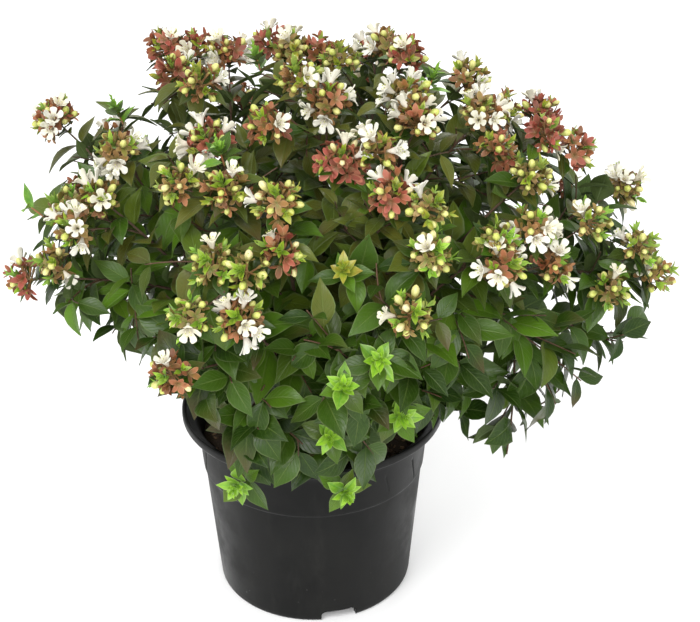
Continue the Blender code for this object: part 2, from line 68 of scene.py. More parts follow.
# ---------------------------------------------------------------- the plant's plan
# The CAD's shoots: each tip is (node of its head or None, azimuth in degrees, radius in mm, height in mm).
# The first tip ends the shoot's main stem, and the others end its side stems.
SHOOTS = (
    (("calyx_head_01", 150, 112, 388), ("flower_head_01", 133, 82, 380)),
    (("flower_head_02", 170, 172, 345), ("flower_head_03", 194, 122, 345)),
    (("flower_head_04", 205, 140, 325), ("calyx_head_02", 196, 188, 268)),
    (("flower_head_05", 226, 85, 362), ("bud_head_01", 244, 105, 345)),
    (("bud_head_02", 262, 108, 342), ("bud_head_03", 248, 138, 312)),
    (("flower_head_06", 256, 150, 286), ("calyx_head_03", 241, 160, 246)),
    (("flower_head_07", 50, 82, 384), ("bud_head_04", 20, 112, 370)),
    (("flower_head_08", 290, 40, 380), ("calyx_head_04", 284, 90, 360)),
    (("flower_head_09", 322, 86, 372), ("flower_head_10", 345, 112, 368)),
    (("calyx_head_05", 296, 118, 346), ("bud_head_05", 300, 146, 318)),
    (("bud_head_06", 293, 158, 288), ("young_rosette_01", 279, 146, 240)),
    (("bud_head_07", 315, 160, 318), ("flower_head_11", 326, 178, 300)),
    (("bud_head_08", 336, 150, 340), ("calyx_head_06", 13, 160, 346)),
    (("flower_head_12", 4, 212, 302), ("bud_head_09", 351, 228, 262), (None, 334, 150, 140)),
    (("young_rosette_02", 297, 126, 200), ("young_rosette_03", 277, 120, 190)),
    (("young_rosette_04", 248, 117, 148), ("young_rosette_05", 281, 117, 146)),
    (("flower_head_13", 74, 140, 338), ("calyx_head_07", 44, 168, 306)),
    (("calyx_head_08", 112, 150, 322), ("bud_head_10", 100, 66, 380)),
    (("bud_head_11", 140, 172, 290), ("flower_head_14", 92, 175, 262)),
)

# Heads between the CAD's, on side twigs of their own: (kind, azimuth in degrees, radius in mm, height in mm).
# A pair is a bare tip with two leaves and two smaller ones at its foot. A leafy twig has only side leaves.
SIDE_HEADS = (
    ("calyx", 165, 90, 380), ("sprig", 174, 125, 352), ("bud", 194, 69, 386), ("bloom", 207, 158, 312),
    ("bud", 192, 157, 308), ("bud", 230, 114, 346), ("calyx", 264, 122, 318), ("bud", 205, 172, 290),
    ("bud", 257, 138, 312), ("bud", 246, 157, 288), ("bud", 262, 32, 392), ("bud", 49, 33, 386),
    ("calyx", 27, 71, 388), ("calyx", 251, 66, 374), ("bloom", 296, 96, 366), ("bloom", 327, 74, 384),
    ("bud", 303, 132, 340), ("autumn", 281, 124, 305), ("calyx", 339, 126, 352), ("calyx", 355, 152, 350),
    ("calyx", 355, 172, 340), ("bud", 337, 188, 314), ("bud", 348, 217, 285), ("bud", 340, 203, 266),
    ("bud", 7, 128, 354), ("bloom", 323, 170, 324), ("bloom", 314, 168, 308), ("rosette", 287, 148, 256),
    ("sprig", 189, 30, 392), ("pair", 198, 177, 314), ("sprig", 240, 97, 360), ("sprig", 0, 78, 378),
    ("bud", 62, 150, 300), ("bloom", 30, 160, 300), ("calyx", 85, 120, 352), ("bloom", 104, 150, 290),
    ("calyx", 122, 168, 268), ("bud", 128, 140, 338), ("bloom", 152, 158, 312), ("calyx", 160, 176, 280),
    ("leafy", 158, 187, 304), ("leafy", 160, 166, 311), ("leafy", 164, 152, 322), ("leafy", 13, 213, 266),
    ("leafy", 353, 176, 218), ("leafy", 346, 209, 218), ("leafy", 336, 137, 150), ("leafy", 341, 140, 148),
    ("leafy", 345, 152, 156), ("leafy", 343, 168, 168), ("leafy", 345, 180, 184), ("leafy", 344, 200, 226),
    ("leafy", 343, 217, 232), ("leafy", 206, 172, 262), ("leafy", 207, 156, 258), ("leafy", 206, 142, 236),
    ("leafy", 203, 128, 226), ("calyx", 108, 88, 379), ("calyx", 142, 98, 384), ("calyx", 86, 64, 380),
    ("bloom", 66, 108, 370), ("bud", 95, 182, 245), ("calyx", 20, 190, 275), ("sprig", 60, 175, 240),
    ("sprig", 12, 205, 235), ("sprig", 130, 180, 225), ("sprig", 170, 182, 225), ("rosette", 105, 165, 215),
)

# ---------------------------------------------------------------- sizes
SEED = 20
SOIL_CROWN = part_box("potting_soil")[1][2]  # height of the compost's flat middle
HEART = np.array((0.01, 0.0, 0.215))  # middle of the bush
BURL_RADIUS = 0.013
BURL_HEIGHT = 0.011
MAIN_STEM_RADIUS = 0.0021
SIDE_STEM_RADIUS = 0.00125
TWIG_RADIUS = 0.00065
TIP_RADIUS = 0.0006
CROWN_SHARE = 0.34  # part of each main stem that belongs to the woody crown
FORK_SHARE = 0.52  # how far along the main stem its first side stem leaves
FORK_STEP = 0.08  # and how much further the next one does
MOST_ORDER = 3  # twigs leave stems of this order or less
GOLDEN_ANGLE = 2.39996
FULL_TURN = 2 * pi


# ---------------------------------------------------------------- vectors
def vec(*values):
    return np.array(values, dtype=float)


UP = vec(0, 0, 1)


def unit(v):
    return v / max(norm(v), 1e-9)


def on_circle(radius, turn):
    return radius * cos(turn), radius * sin(turn)


def polar(azimuth, radius, height):
    return vec(*on_circle(radius, radians(azimuth)), height)


def from_plan(azimuth, radius, height):
    """A point of the plan, whose lengths are in mm."""
    return polar(azimuth, radius / 1000, height / 1000)


def basis(along, up):
    """Columns: sideways, along, and as near to up as that allows."""
    forward = unit(along)
    side = np.cross(forward, up)
    if norm(side) < 0.05:
        side = np.cross(forward, vec(0.31, 0.2, 0.93))
    side = unit(side)
    return np.column_stack((side, forward, np.cross(side, forward)))


def place(points, origin, axes):
    return origin + points @ axes.T


def spin(v, axis, angle):
    """v turned about a unit axis."""
    return v * cos(angle) + np.cross(axis, v) * sin(angle) + axis * (axis @ v) * (1 - cos(angle))


class Chance(np.random.Generator):
    """Seeded random draws. A call draws evenly between two numbers."""

    def __init__(self, seed):
        super().__init__(np.random.PCG64(seed))

    def __call__(self, low, high, size=None):
        return self.uniform(low, high, size)


# ---------------------------------------------------------------- faces in rings
def ring_faces(rings, sides):
    """Four-sided faces between rings of points that follow one another."""
    faces = []
    for low in range(0, (rings - 1) * sides, sides):
        for k in range(sides):
            after = (k + 1) % sides
            faces.append((low + k, low + after, low + sides + after, low + sides + k))
    return faces


def grid_cells(edges, levels):
    """The places of a grid's faces in the texture, by its edges across and its levels."""
    return [
        ((left, bottom), (right, bottom), (right, top), (left, top))
        for bottom, top in zip(levels, levels[1:])
        for left, right in zip(edges, edges[1:])
    ]


def end_cell(sides, level, reach):
    """A small place in the texture for an end face."""
    return [(0.5 + 0.01 * cos(k), level + reach * sin(k)) for k in range(sides)]


# ---------------------------------------------------------------- shapes that are used many times
class Shape:
    """Faces and coordinates that many organs of one form share.

    cell holds each face corner's place in the organ's own square of the texture. mark holds, for each
    point, where it is on the organ: across from -1 to 1, along from 0 to 1, and 1 above or 0 below.
    """

    def __init__(self, faces, cells, mark):
        self.sizes = np.array([len(face) for face in faces])
        self.corners = np.concatenate([np.array(face) for face in faces])
        self.cell = np.concatenate([np.array(cell, dtype=float) for cell in cells])
        self.mark = np.array(mark, dtype=float)


class Blade:
    """A leaf, bract or sepal: two skins that meet at a sharp margin, closed at the foot and the tip."""

    def __init__(self, outline, columns):
        """outline is (share of the length, share of the half width) for each row below the tip."""
        share, width = np.array(outline).T
        spread = np.linspace(-1, 1, columns)
        rows, inner = len(outline), columns - 2
        self.across = np.concatenate((np.tile(spread, rows), np.tile(spread[1:-1], rows), [0.0]))
        self.along = np.concatenate((np.repeat(share, columns), np.repeat(share, inner), [1.0]))
        self.half = np.concatenate((np.repeat(width, columns), np.repeat(width, inner), [0.0]))
        self.below = np.concatenate((np.zeros(rows * columns), np.ones(rows * inner), [0.0]))
        self.middle = (rows - 1) // 2 * columns + columns // 2
        tip = rows * (columns + inner)
        upper = np.arange(rows * columns).reshape(rows, columns)
        lower = upper.copy()
        lower[:, 1:-1] = rows * columns + np.arange(rows * inner).reshape(rows, inner)
        faces = []
        cells = []

        def face(points, low=0):
            faces.append(points)
            across = 0.24 * self.across[points] * np.maximum(self.half[points], 0.02)
            cells.append(np.column_stack((0.25 + across + 0.5 * low, 0.02 + 0.96 * self.along[points])))

        for row in range(rows - 1):
            for c in range(columns - 1):
                face([upper[row, c], upper[row, c + 1], upper[row + 1, c + 1], upper[row + 1, c]])
                face([lower[row, c], lower[row + 1, c], lower[row + 1, c + 1], lower[row, c + 1]], 1)
        for c in range(columns - 1):
            face([upper[-1, c], upper[-1, c + 1], tip])
            face([lower[-1, c], tip, lower[-1, c + 1]], 1)
        face([*lower[0], *upper[0, -2:0:-1]])
        side = np.where(np.abs(self.across) > 0.99, 0.5, 1 - self.below)
        side[tip] = 0.5
        self.shape = Shape(faces, cells, np.column_stack((self.across, self.along, side)))

    def bent(self, length, width, fold=0.2, bend=0.4, twist=0.0, wave=0.0, phase=0.0, thick=0.0004):
        """Points of one blade. fold lifts the sides over the midrib, and bend turns the tip down."""
        reach = np.abs(self.across)
        across = self.across * self.half * width / 2
        rise = fold * width / 2 * self.half * (reach**0.85 - 0.22 * reach**3)
        rise = rise + wave * width * reach**2 * np.sin(self.along * 9.0 + phase + (self.across > 0) * 1.7)
        height = rise - thick * self.below
        turn = twist * self.along
        x = across * np.cos(turn) - height * np.sin(turn)
        h = across * np.sin(turn) + height * np.cos(turn)
        bend = bend if abs(bend) > 1e-3 else 1e-3
        angle = bend * self.along
        y = length * np.sin(angle) / bend + h * np.sin(angle)
        z = -length * (1 - np.cos(angle)) / bend + h * np.cos(angle)
        return np.column_stack((x, y, z))


LEAF_OUTLINE = ((0.0, 0.055), (0.07, 0.065), (0.13, 0.38), (0.22, 0.71), (0.33, 0.93))
LEAF_OUTLINE += ((0.46, 1.0), (0.6, 0.87), (0.73, 0.6), (0.84, 0.33), (0.94, 0.12))
LEAF = Blade(LEAF_OUTLINE, 5)
INNER_LEAF = Blade(((0.0, 0.06), (0.14, 0.45), (0.33, 0.98), (0.58, 0.85), (0.85, 0.33)), 3)
BRACT = Blade(((0.0, 0.22), (0.16, 0.62), (0.38, 1.0), (0.62, 0.82), (0.85, 0.36)), 3)
SEPAL = Blade(((0.0, 0.28), (0.2, 0.62), (0.45, 0.97), (0.68, 0.95), (0.89, 0.56)), 3)


@cache
def tube_shape(rings, sides):
    """A closed tube: rings of points, with a flat end at each end."""
    edges = [0.03 + 0.94 * k / sides for k in range(sides + 1)]
    levels = [0.03 + 0.94 * ring / (rings - 1) for ring in range(rings)]
    last = (rings - 1) * sides
    faces = [*ring_faces(rings, sides), tuple(range(sides))[::-1], tuple(range(last, last + sides))]
    cells = [*grid_cells(edges, levels), end_cell(sides, 0.015, 0.01), end_cell(sides, 0.985, 0.01)]
    marks = [(0.0, ring / (rings - 1), 1.0) for ring in range(rings) for _ in range(sides)]
    return Shape(faces, cells, marks)


def tube(path, radii, sides):
    """A tube's shape and points along a path."""
    path = np.asarray(path)
    slopes = np.gradient(path, axis=0)
    side = np.cross(slopes[0], vec(0.3, 0.2, 1))
    if norm(side) < 1e-9:
        side = vec(1, 0, 0)
    turns = FULL_TURN * np.arange(sides) / sides
    points = []
    for centre, slope, radius in zip(path, slopes, radii):
        slope = unit(slope)
        side = unit(side - slope * (side @ slope))
        other = np.cross(slope, side)
        points.append(centre + radius * (np.outer(np.cos(turns), side) + np.outer(np.sin(turns), other)))
    return tube_shape(len(path), sides), np.concatenate(points)


def turned_shape(profile, sides):
    """A closed turned shape along +Y whose profile is (radius, y) with a point at the far end."""
    turns = FULL_TURN * np.arange(sides) / sides
    x, z = np.sin(turns), np.cos(turns)
    rings = [np.column_stack((r * x, np.full(sides, y), r * z)) for r, y in profile[:-1]]
    total = profile[-1][1]
    points = np.concatenate([*rings, [[0, total, 0]]])
    edges = [0.02 + 0.96 * k / sides for k in range(sides + 1)]
    levels = [0.02 + 0.96 * y / total for _, y in profile]
    faces = ring_faces(len(rings), sides)
    cells = grid_cells(edges, levels[:-1])
    top = (len(rings) - 1) * sides
    for k in range(sides):
        faces.append((top + k, top + (k + 1) % sides, len(points) - 1))
        point = (0.02 + 0.96 * (k + 0.5) / sides, levels[-1])
        cells.append(((edges[k], levels[-2]), (edges[k + 1], levels[-2]), point))
    faces.append(tuple(range(sides))[::-1])
    cells.append(end_cell(sides, 0.01, 0.005))
    marks = np.column_stack((np.zeros(len(points)), points[:, 1] / total, np.ones(len(points))))
    return Shape(faces, cells, marks), points


BUD_PROFILE = ((0.0007, 0.0), (0.00125, 0.0022), (0.0021, 0.0043), (0.00258, 0.0063), (0.00216, 0.0083))
BUD_PROFILE += ((0.00112, 0.0095), (0.0, 0.01))
BUD_SHAPE, BUD_POINTS = turned_shape(BUD_PROFILE, 10)
BUD_FOLDS = np.arange(len(BUD_POINTS)) % 2  # the folded lobes leave five furrows down the bud
BUD_POINTS[:, (0, 2)] *= np.where(BUD_FOLDS, 0.92, 1.05)[:, None]
BUD_SHAPE.mark[:, 0] = BUD_FOLDS

LOBES = 5
LOBE_FACES = 4  # faces across a lobe
COROLLA_TUBE = ((0.0006, 0.0), (0.0011, 0.0034), (0.0019, 0.0064), (0.0028, 0.0087))  # radius, height
COROLLA_LOBE = (  # out along the lobe, half width, reach from the axis, height
    (0.3, 0.0019, 0.0038, 0.0101),
    (0.58, 0.0025, 0.005, 0.0113),
    (0.81, 0.0023, 0.0061, 0.012),
    (0.94, 0.0016, 0.0067, 0.0122),
    (1.0, 0.0007, 0.007, 0.0122),
)


def corolla_shape():
    """An open flower along +Y: a tube that widens to a throat, and five rounded lobes. One skin.

    It returns the shape, its points, and for each point its lobe and how far out on the lobe it is.
    """
    around = LOBES * LOBE_FACES
    points = []
    lobes = []
    marks = []
    for radius, height in COROLLA_TUBE:
        for k in range(around):
            turn = FULL_TURN * (k - LOBE_FACES / 2) / around
            points.append((radius * sin(turn), height, radius * cos(turn)))
            lobes.append((k // LOBE_FACES, 0.0))
            marks.append((0.0, 0.5 * height / COROLLA_TUBE[-1][1], 1.0))
    throat_row = len(COROLLA_TUBE) - 1
    rows = throat_row + len(COROLLA_LOBE)
    levels = [row / rows for row in range(rows + 1)]
    faces = ring_faces(len(COROLLA_TUBE), around)
    cells = grid_cells([k / around for k in range(around + 1)], levels[: throat_row + 1])
    for lobe in range(LOBES):
        turn = FULL_TURN * lobe / LOBES
        outwards = vec(sin(turn), 0, cos(turn))
        sideways = vec(cos(turn), 0, -sin(turn))
        edges = [(lobe + k / LOBE_FACES) / LOBES for k in range(LOBE_FACES + 1)]
        before = [throat_row * around + (lobe * LOBE_FACES + k) % around for k in range(LOBE_FACES + 1)]
        for level, (out, half, reach, height) in enumerate(COROLLA_LOBE, start=throat_row):
            row = []
            for k in range(LOBE_FACES + 1):
                share = 2 * k / LOBE_FACES - 1
                edge = abs(share) ** 2.2
                spot = outwards * (reach - 0.0003 * out**2 * edge) + sideways * half * share
                row.append(len(points))
                points.append(tuple(spot + vec(0, height + 0.0006 * edge * out, 0)))
                lobes.append((lobe, out))
                marks.append((share, 0.5 + 0.5 * out, 1.0))
            faces += [(before[k], before[k + 1], row[k + 1], row[k]) for k in range(LOBE_FACES)]
            cells += grid_cells(edges, levels[level : level + 2])
            before = row
    return Shape(faces, cells, marks), np.array(points), np.array(lobes)


COROLLA_SHAPE, COROLLA_POINTS, COROLLA_LOBES = corolla_shape()


# ---------------------------------------------------------------- gathering shapes into pieces
class Batch:
    """Many organs that become one mesh."""

    def __init__(self):
        self.organs = []

    def add(self, shape, points, tone):
        """tone is three numbers from 0 to 1 that vary the organ's colour."""
        self.organs.append((shape, points, tone))

    def build(self, name, material, slot, replaced=(), sharp=75):
        side = ceil(sqrt(len(self.organs)))
        shapes = [shape for shape, _, _ in self.organs]
        points = np.concatenate([own for _, own, _ in self.organs])
        sizes = np.concatenate([shape.sizes for shape in shapes])
        corners = []
        cells = []
        tone_rows = []
        first = 0
        for number, (shape, own, tone) in enumerate(self.organs):
            corners.append(shape.corners + first)
            corner = np.array((number % side, number // side), dtype=float)
            cells.append((corner + 0.03 + 0.94 * shape.cell) / side)
            tone_rows.append(np.tile(np.array(tone, dtype=float), (len(own), 1)))
            first += len(own)
        corners = np.concatenate(corners)
        mesh = bpy.data.meshes.new(name)
        mesh.vertices.add(len(points))
        mesh.vertices.foreach_set("co", points.astype(np.float32).ravel())
        mesh.loops.add(len(corners))
        mesh.loops.foreach_set("vertex_index", corners.astype(np.int32))
        mesh.polygons.add(len(sizes))
        starts = np.concatenate(([0], np.cumsum(sizes)[:-1]))
        mesh.polygons.foreach_set("loop_start", starts.astype(np.int32))
        mesh.polygons.foreach_set("use_smooth", np.ones(len(sizes), dtype=bool))
        mesh.update(calc_edges=True)
        atlas = mesh.uv_layers.new(name="OFBake")
        atlas.data.foreach_set("uv", np.concatenate(cells).astype(np.float32).ravel())
        for label, values in (("mark", [shape.mark for shape in shapes]), ("tone", tone_rows)):
            layer = mesh.attributes.new(label, "FLOAT_VECTOR", "POINT")
            layer.data.foreach_set("vector", np.concatenate(values).astype(np.float32).ravel())
        mesh.validate()
        mesh.set_sharp_from_angle(angle=radians(sharp))
        return add_piece(name, mesh, material, replaced)


def link_new(name, data):
    thing = bpy.data.objects.new(name, data)
    bpy.context.collection.objects.link(thing)
    return thing


def add_piece(name, mesh, material, replaced=()):
    piece = link_new(name, mesh)
    mesh.materials.append(material)
    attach(piece, "root")
    if replaced:
        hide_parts(*replaced)
    return piece


# ---------------------------------------------------------------- materials
class Paint:
    """A material's node tree, built up by short calls that return the socket of what they made."""

    def __init__(self, name, **values):
        self.material = bpy.data.materials.new(name)
        self.material.use_nodes = True
        self.tree = self.material.node_tree
        self.shader = self.tree.nodes["Principled BSDF"]
        for key, value in values.items():
            self.shader.inputs[key.replace("_", " ")].default_value = value

    def node(self, kind, inputs, **settings):
        made = self.tree.nodes.new("ShaderNode" + kind)
        for key, value in settings.items():
            setattr(made, key, value)
        for key, value in inputs.items():
            self.feed(made.inputs[key], value)
        return made

    def feed(self, socket, value):
        if isinstance(value, bpy.types.NodeSocket):
            self.tree.links.new(value, socket)
        elif isinstance(value, tuple) and len(value) == 3 and len(socket.default_value) == 4:
            socket.default_value = (*value, 1.0)
        else:
            socket.default_value = value

    def attribute(self, name):
        """The three numbers of a mesh attribute."""
        read = self.node("Attribute", {}, attribute_name=name)
        return self.node("SeparateXYZ", {0: read.outputs["Vector"]}).outputs

    def math(self, operation, a, b=0.0, c=0.0):
        return self.node("Math", {0: a, 1: b, 2: c}, operation=operation).outputs[0]

    def times(self, a, b):
        return self.math("MULTIPLY", a, b)

    def plus(self, a, b):
        return self.math("ADD", a, b)

    def ease(self, value, low, high, start=0.0, end=1.0):
        """value between low and high, eased to between start and end."""
        inputs = {"Value": value, "From Min": low, "From Max": high, "To Min": start, "To Max": end}
        return self.node("MapRange", inputs, interpolation_type="SMOOTHSTEP").outputs[0]

    def amount(self, much):
        """much itself, or ease's result where much is a tuple of what ease takes."""
        return self.ease(*much) if isinstance(much, tuple) else much

    def lines(self, across, pace, width):
        """Thin lines along an organ: 1 on a line and 0 between."""
        wave = self.math("ABSOLUTE", self.math("SINE", self.times(across, pace)))
        return self.ease(wave, 0.0, width, 1.0, 0.0)

    def mix(self, factor, a, b):
        return self.node("Mix", {0: factor, 6: a, 7: b}, data_type="RGBA").outputs[2]

    def coats(self, colour, *coats):
        """A colour with others over it, in order. Each is (colour, how much of it)."""
        for coat, much in coats:
            colour = self.mix(self.amount(much), colour, coat)
        return colour

    def place(self, scale=(1.0, 1.0, 1.0)):
        coordinates = self.node("TexCoord", {}).outputs["Object"]
        return self.node("Mapping", {"Vector": coordinates, "Scale": scale}).outputs[0]

    def noise(self, scale, detail=3.0, roughness=0.5, where=None):
        inputs = {"Vector": where or self.place(), "Scale": scale, "Detail": detail, "Roughness": roughness}
        return self.node("TexNoise", inputs).outputs[0]

    def finish(self, colour, roughness, height, depth, strength):
        bump = self.node("Bump", {"Strength": strength, "Distance": depth, "Height": height})
        self.feed(self.shader.inputs["Base Color"], colour)
        self.feed(self.shader.inputs["Roughness"], self.amount(roughness))
        self.feed(self.shader.inputs["Normal"], bump.outputs[0])
        return self.material


def leaf_paint():
    """Glossy dark green above and pale grey-green below, with a light midrib, side veins and margin."""
    paint = Paint("leaf", Specular_IOR_Level=0.25)
    across, along, side = paint.attribute("mark")
    # The first tone is a random tone plus painted light and shade: leaves high up and deep inside the bush
    # are painted lighter, low leaves darker.
    light, bronze, olive = paint.attribute("tone")
    off = paint.math("ABSOLUTE", across)
    patch = paint.noise(38.0, 2.0)
    fine = paint.noise(420.0, 3.0, 0.6)
    lane = paint.math("FRACT", paint.times(paint.math("MULTIPLY_ADD", off, -0.34, along), 8.0))
    vein = paint.ease(paint.math("ABSOLUTE", paint.math("SUBTRACT", lane, 0.5)), 0.0, 0.1, 1.0, 0.0)
    midrib = paint.ease(off, 0.02, 0.08, 1.0, 0.0)
    tip = paint.times(paint.ease(along, 0.3, 1.0), paint.ease(bronze, 0.78, 1.0, 0.0, 0.6))
    brown = paint.mix(light, (0.045, 0.043, 0.0064), (0.11, 0.1, 0.0155))
    # Painted light and shade: the green, the olive and the underside grow lighter with the first tone.
    upper = paint.coats(
        (0.0105, 0.029, 0.0022),
        ((0.029, 0.067, 0.0045), (light, 0.0, 0.55)),
        ((0.072, 0.156, 0.0085), (light, 0.5, 1.0)),
        (brown, (olive, 0.3, 0.8, 0.0, 0.88)),
        ((0.029, 0.054, 0.005), (patch, 0.35, 0.7, 0.0, 0.4)),
        ((0.048, 0.092, 0.009), (fine, 0.4, 0.7, 0.0, 0.2)),
        ((0.075, 0.15, 0.018), paint.times(vein, 0.2)),
        ((0.12, 0.17, 0.04), paint.times(midrib, 0.32)),
        ((0.15, 0.18, 0.05), paint.times(paint.ease(off, 0.9, 1.0), 0.36)),
        ((0.085, 0.045, 0.024), tip),
    )
    lower = paint.coats(
        (0.046, 0.072, 0.022),
        ((0.11, 0.155, 0.045), light),
        ((0.17, 0.23, 0.1), paint.times(midrib, 0.5)),
    )
    colour = paint.mix(paint.ease(side, 0.5, 0.62), lower, upper)
    rough = paint.plus(paint.ease(fine, 0.3, 0.7, 0.28, 0.42), paint.ease(side, 0.5, 0.6, 0.22, 0.0))
    ribs = paint.plus(paint.times(vein, -0.5), paint.times(midrib, -1.0))
    return paint.finish(colour, rough, paint.plus(ribs, paint.times(fine, 0.5)), 0.0003, 0.6)


def young_paint():
    """Lime green, darker at the foot and lighter at the margin. The second tone turns it to orange."""
    paint = Paint("young_leaf", Specular_IOR_Level=0.5)
    across, along, side = paint.attribute("mark")
    light, autumn, _ = paint.attribute("tone")
    off = paint.math("ABSOLUTE", across)
    fine = paint.noise(500.0, 3.0, 0.6)
    midrib = paint.ease(off, 0.03, 0.16, 1.0, 0.0)
    orange = paint.mix(paint.ease(along, 0.1, 1.0), (0.26, 0.27, 0.03), (0.4, 0.15, 0.03))
    colour = paint.coats(
        (0.055, 0.165, 0.006),
        ((0.24, 0.46, 0.015), light),
        ((0.06, 0.18, 0.008), (along, 0.0, 0.8, 0.5, 0.0)),
        ((0.33, 0.48, 0.06), (fine, 0.35, 0.7, 0.0, 0.22)),
        ((0.06, 0.23, 0.02), paint.times(midrib, 0.45)),
        ((0.38, 0.52, 0.12), paint.times(paint.ease(off, 0.75, 1.0), 0.5)),
        (orange, autumn),
        ((0.24, 0.4, 0.12), (side, 0.5, 0.62, 0.35, 0.0)),
    )
    height = paint.math("SUBTRACT", paint.times(fine, 0.6), midrib)
    return paint.finish(colour, (fine, 0.3, 0.7, 0.34, 0.5), height, 0.0002, 0.6)


def calyx_paint():
    """Sepals from olive green through orange-brown to brick red by their first tone."""
    paint = Paint("calyx", Specular_IOR_Level=0.4)
    across, along, _ = paint.attribute("mark")
    age, light, _ = paint.attribute("tone")
    fine = paint.noise(650.0, 3.0, 0.6)
    streak = paint.lines(across, 7.0, 0.35)
    margin = paint.ease(paint.math("ABSOLUTE", across), 0.66, 1.0)
    foot = paint.mix(age, (0.1, 0.15, 0.026), (0.13, 0.085, 0.028))
    colour = paint.coats(
        (0.16, 0.18, 0.026),
        ((0.28, 0.118, 0.034), (age, 0.12, 0.62)),
        ((0.29, 0.056, 0.038), (age, 0.5, 0.95)),
        ((0.44, 0.2, 0.11), (light, 0.45, 1.0, 0.0, 0.4)),
        ((0.1, 0.042, 0.02), (light, 0.0, 0.5, 0.65, 0.0)),
        (foot, (along, 0.0, 0.6, 0.9, 0.0)),
        ((0.48, 0.2, 0.11), paint.times(streak, 0.25)),
        ((0.52, 0.29, 0.16), paint.times(margin, 0.5)),
        ((0.3, 0.06, 0.04), (fine, 0.4, 0.75, 0.0, 0.25)),
    )
    height = paint.math("SUBTRACT", fine, streak)
    return paint.finish(colour, (fine, 0.3, 0.7, 0.42, 0.6), height, 0.00015, 0.6)


def petal_paint():
    """Creamy white with a faint pink flush down the tube, and fine veins on the lobes."""
    paint = Paint("petal", Specular_IOR_Level=0.35)
    across, along, _ = paint.attribute("mark")
    pink, _, cream = paint.attribute("tone")
    fine = paint.noise(700.0, 3.0, 0.6)
    veins = paint.times(paint.lines(across, 9.0, 0.3), paint.ease(along, 0.45, 1.0, 0.16, 0.05))
    colour = paint.coats(
        (0.7, 0.69, 0.61),
        ((0.7, 0.67, 0.52), cream),
        ((0.68, 0.49, 0.43), paint.times(paint.ease(along, 0.1, 0.6, 0.55, 0.0), pink)),
        ((0.6, 0.6, 0.34), (along, 0.0, 0.5, 0.4, 0.0)),
        ((0.56, 0.48, 0.42), veins),
    )
    height = paint.math("SUBTRACT", fine, paint.times(veins, 3.0))
    return paint.finish(colour, (fine, 0.3, 0.7, 0.5, 0.65), height, 0.00012, 0.5)


def bud_paint():
    """Buds pale yellow-green at the foot and cream to faint pink at the round end."""
    paint = Paint("bud", Specular_IOR_Level=0.5)
    fold, along, _ = paint.attribute("mark")
    ripe, light, _ = paint.attribute("tone")
    fine = paint.noise(600.0, 3.0, 0.6)
    end = paint.coats(
        (0.47, 0.51, 0.085),
        ((0.68, 0.61, 0.25), ripe),
        ((0.76, 0.6, 0.44), (ripe, 0.75, 1.0, 0.0, 0.6)),
        ((0.4, 0.44, 0.07), (light, 0.55, 1.0, 0.0, 0.55)),
    )
    # The five furrows are painted darker olive: painted shade in the creases.
    colour = paint.coats(
        paint.mix(ripe, (0.18, 0.25, 0.036), (0.4, 0.39, 0.115)),
        (end, (along, 0.3, 0.9)),
        ((0.3, 0.33, 0.06), (fold, 0.45, 1.0, 0.0, 0.4)),
        ((0.7, 0.68, 0.3), (fine, 0.35, 0.7, 0.0, 0.3)),
    )
    return paint.finish(colour, (fine, 0.3, 0.7, 0.36, 0.52), fine, 0.0002, 0.4)


def bark_paint():
    """Thin red-brown bark that greys with age, with fine lengthways cracks."""
    paint = Paint("bark", Specular_IOR_Level=0.35)
    age, light, _ = paint.attribute("tone")
    where = paint.place((1.0, 1.0, 0.22))
    fine = paint.noise(900.0, 4.0, 0.65, where)
    patch = paint.noise(120.0, 3.0, 0.6, where)
    colour = paint.coats(
        paint.mix(light, (0.042, 0.026, 0.013), (0.088, 0.042, 0.022)),
        (paint.mix(patch, (0.04, 0.026, 0.018), (0.15, 0.098, 0.064)), age),
        ((0.2, 0.12, 0.075), (fine, 0.45, 0.7, 0.0, 0.4)),
    )
    return paint.finish(colour, (fine, 0.3, 0.7, 0.55, 0.85), fine, 0.0004, 0.8)


def pot_paint():
    """Black plastic with fine moulding grain, rubbed places and dust that gathers low down."""
    paint = Paint("pot_plastic", Specular_IOR_Level=0.14)
    grain = paint.noise(1500.0, 2.0, 0.6)
    cloud = paint.noise(22.0, 4.0, 0.6)
    scuff = paint.noise(60.0, 5.0, 0.7, paint.place((1.0, 1.0, 0.25)))
    speck = paint.noise(380.0, 2.0, 0.5)
    level = paint.node("SeparateXYZ", {0: paint.node("TexCoord", {}).outputs["Object"]}).outputs[2]
    dust = paint.times(paint.ease(scuff, 0.48, 0.75, 0.0, 0.16), paint.ease(level, 0.0, 0.14, 1.0, 0.5))
    drops = paint.times(paint.ease(speck, 0.72, 0.78), paint.ease(level, 0.0, 0.06, 0.6, 0.0))
    colour = paint.coats(
        (0.0036, 0.0038, 0.0036),
        ((0.0072, 0.0073, 0.0067), (cloud, 0.36, 0.64)),
        ((0.052, 0.051, 0.045), dust),
        ((0.12, 0.117, 0.11), drops),
    )
    rough = paint.plus(paint.ease(cloud, 0.36, 0.64, 0.31, 0.53), paint.times(dust, 0.5))
    return paint.finish(colour, rough, paint.plus(paint.times(grain, 0.5), scuff), 0.0002, 0.35)


def compost_paint():
    """Dark moist peat with paler fibres and bark."""
    paint = Paint("compost", Specular_IOR_Level=0.3)
    light, chip, _ = paint.attribute("tone")
    coarse = paint.noise(160.0, 5.0, 0.7)
    fine = paint.noise(900.0, 4.0, 0.7)
    colour = paint.coats(
        (0.01, 0.007, 0.004),
        ((0.06, 0.036, 0.021), coarse),
        (paint.mix(light, (0.03, 0.018, 0.01), (0.19, 0.12, 0.065)), (chip, 0.05, 0.5)),
        ((0.12, 0.078, 0.045), (fine, 0.55, 0.75, 0.0, 0.5)),
    )
    return paint.finish(colour, (fine, 0.3, 0.7, 0.75, 0.98), fine, 0.0012, 0.9)


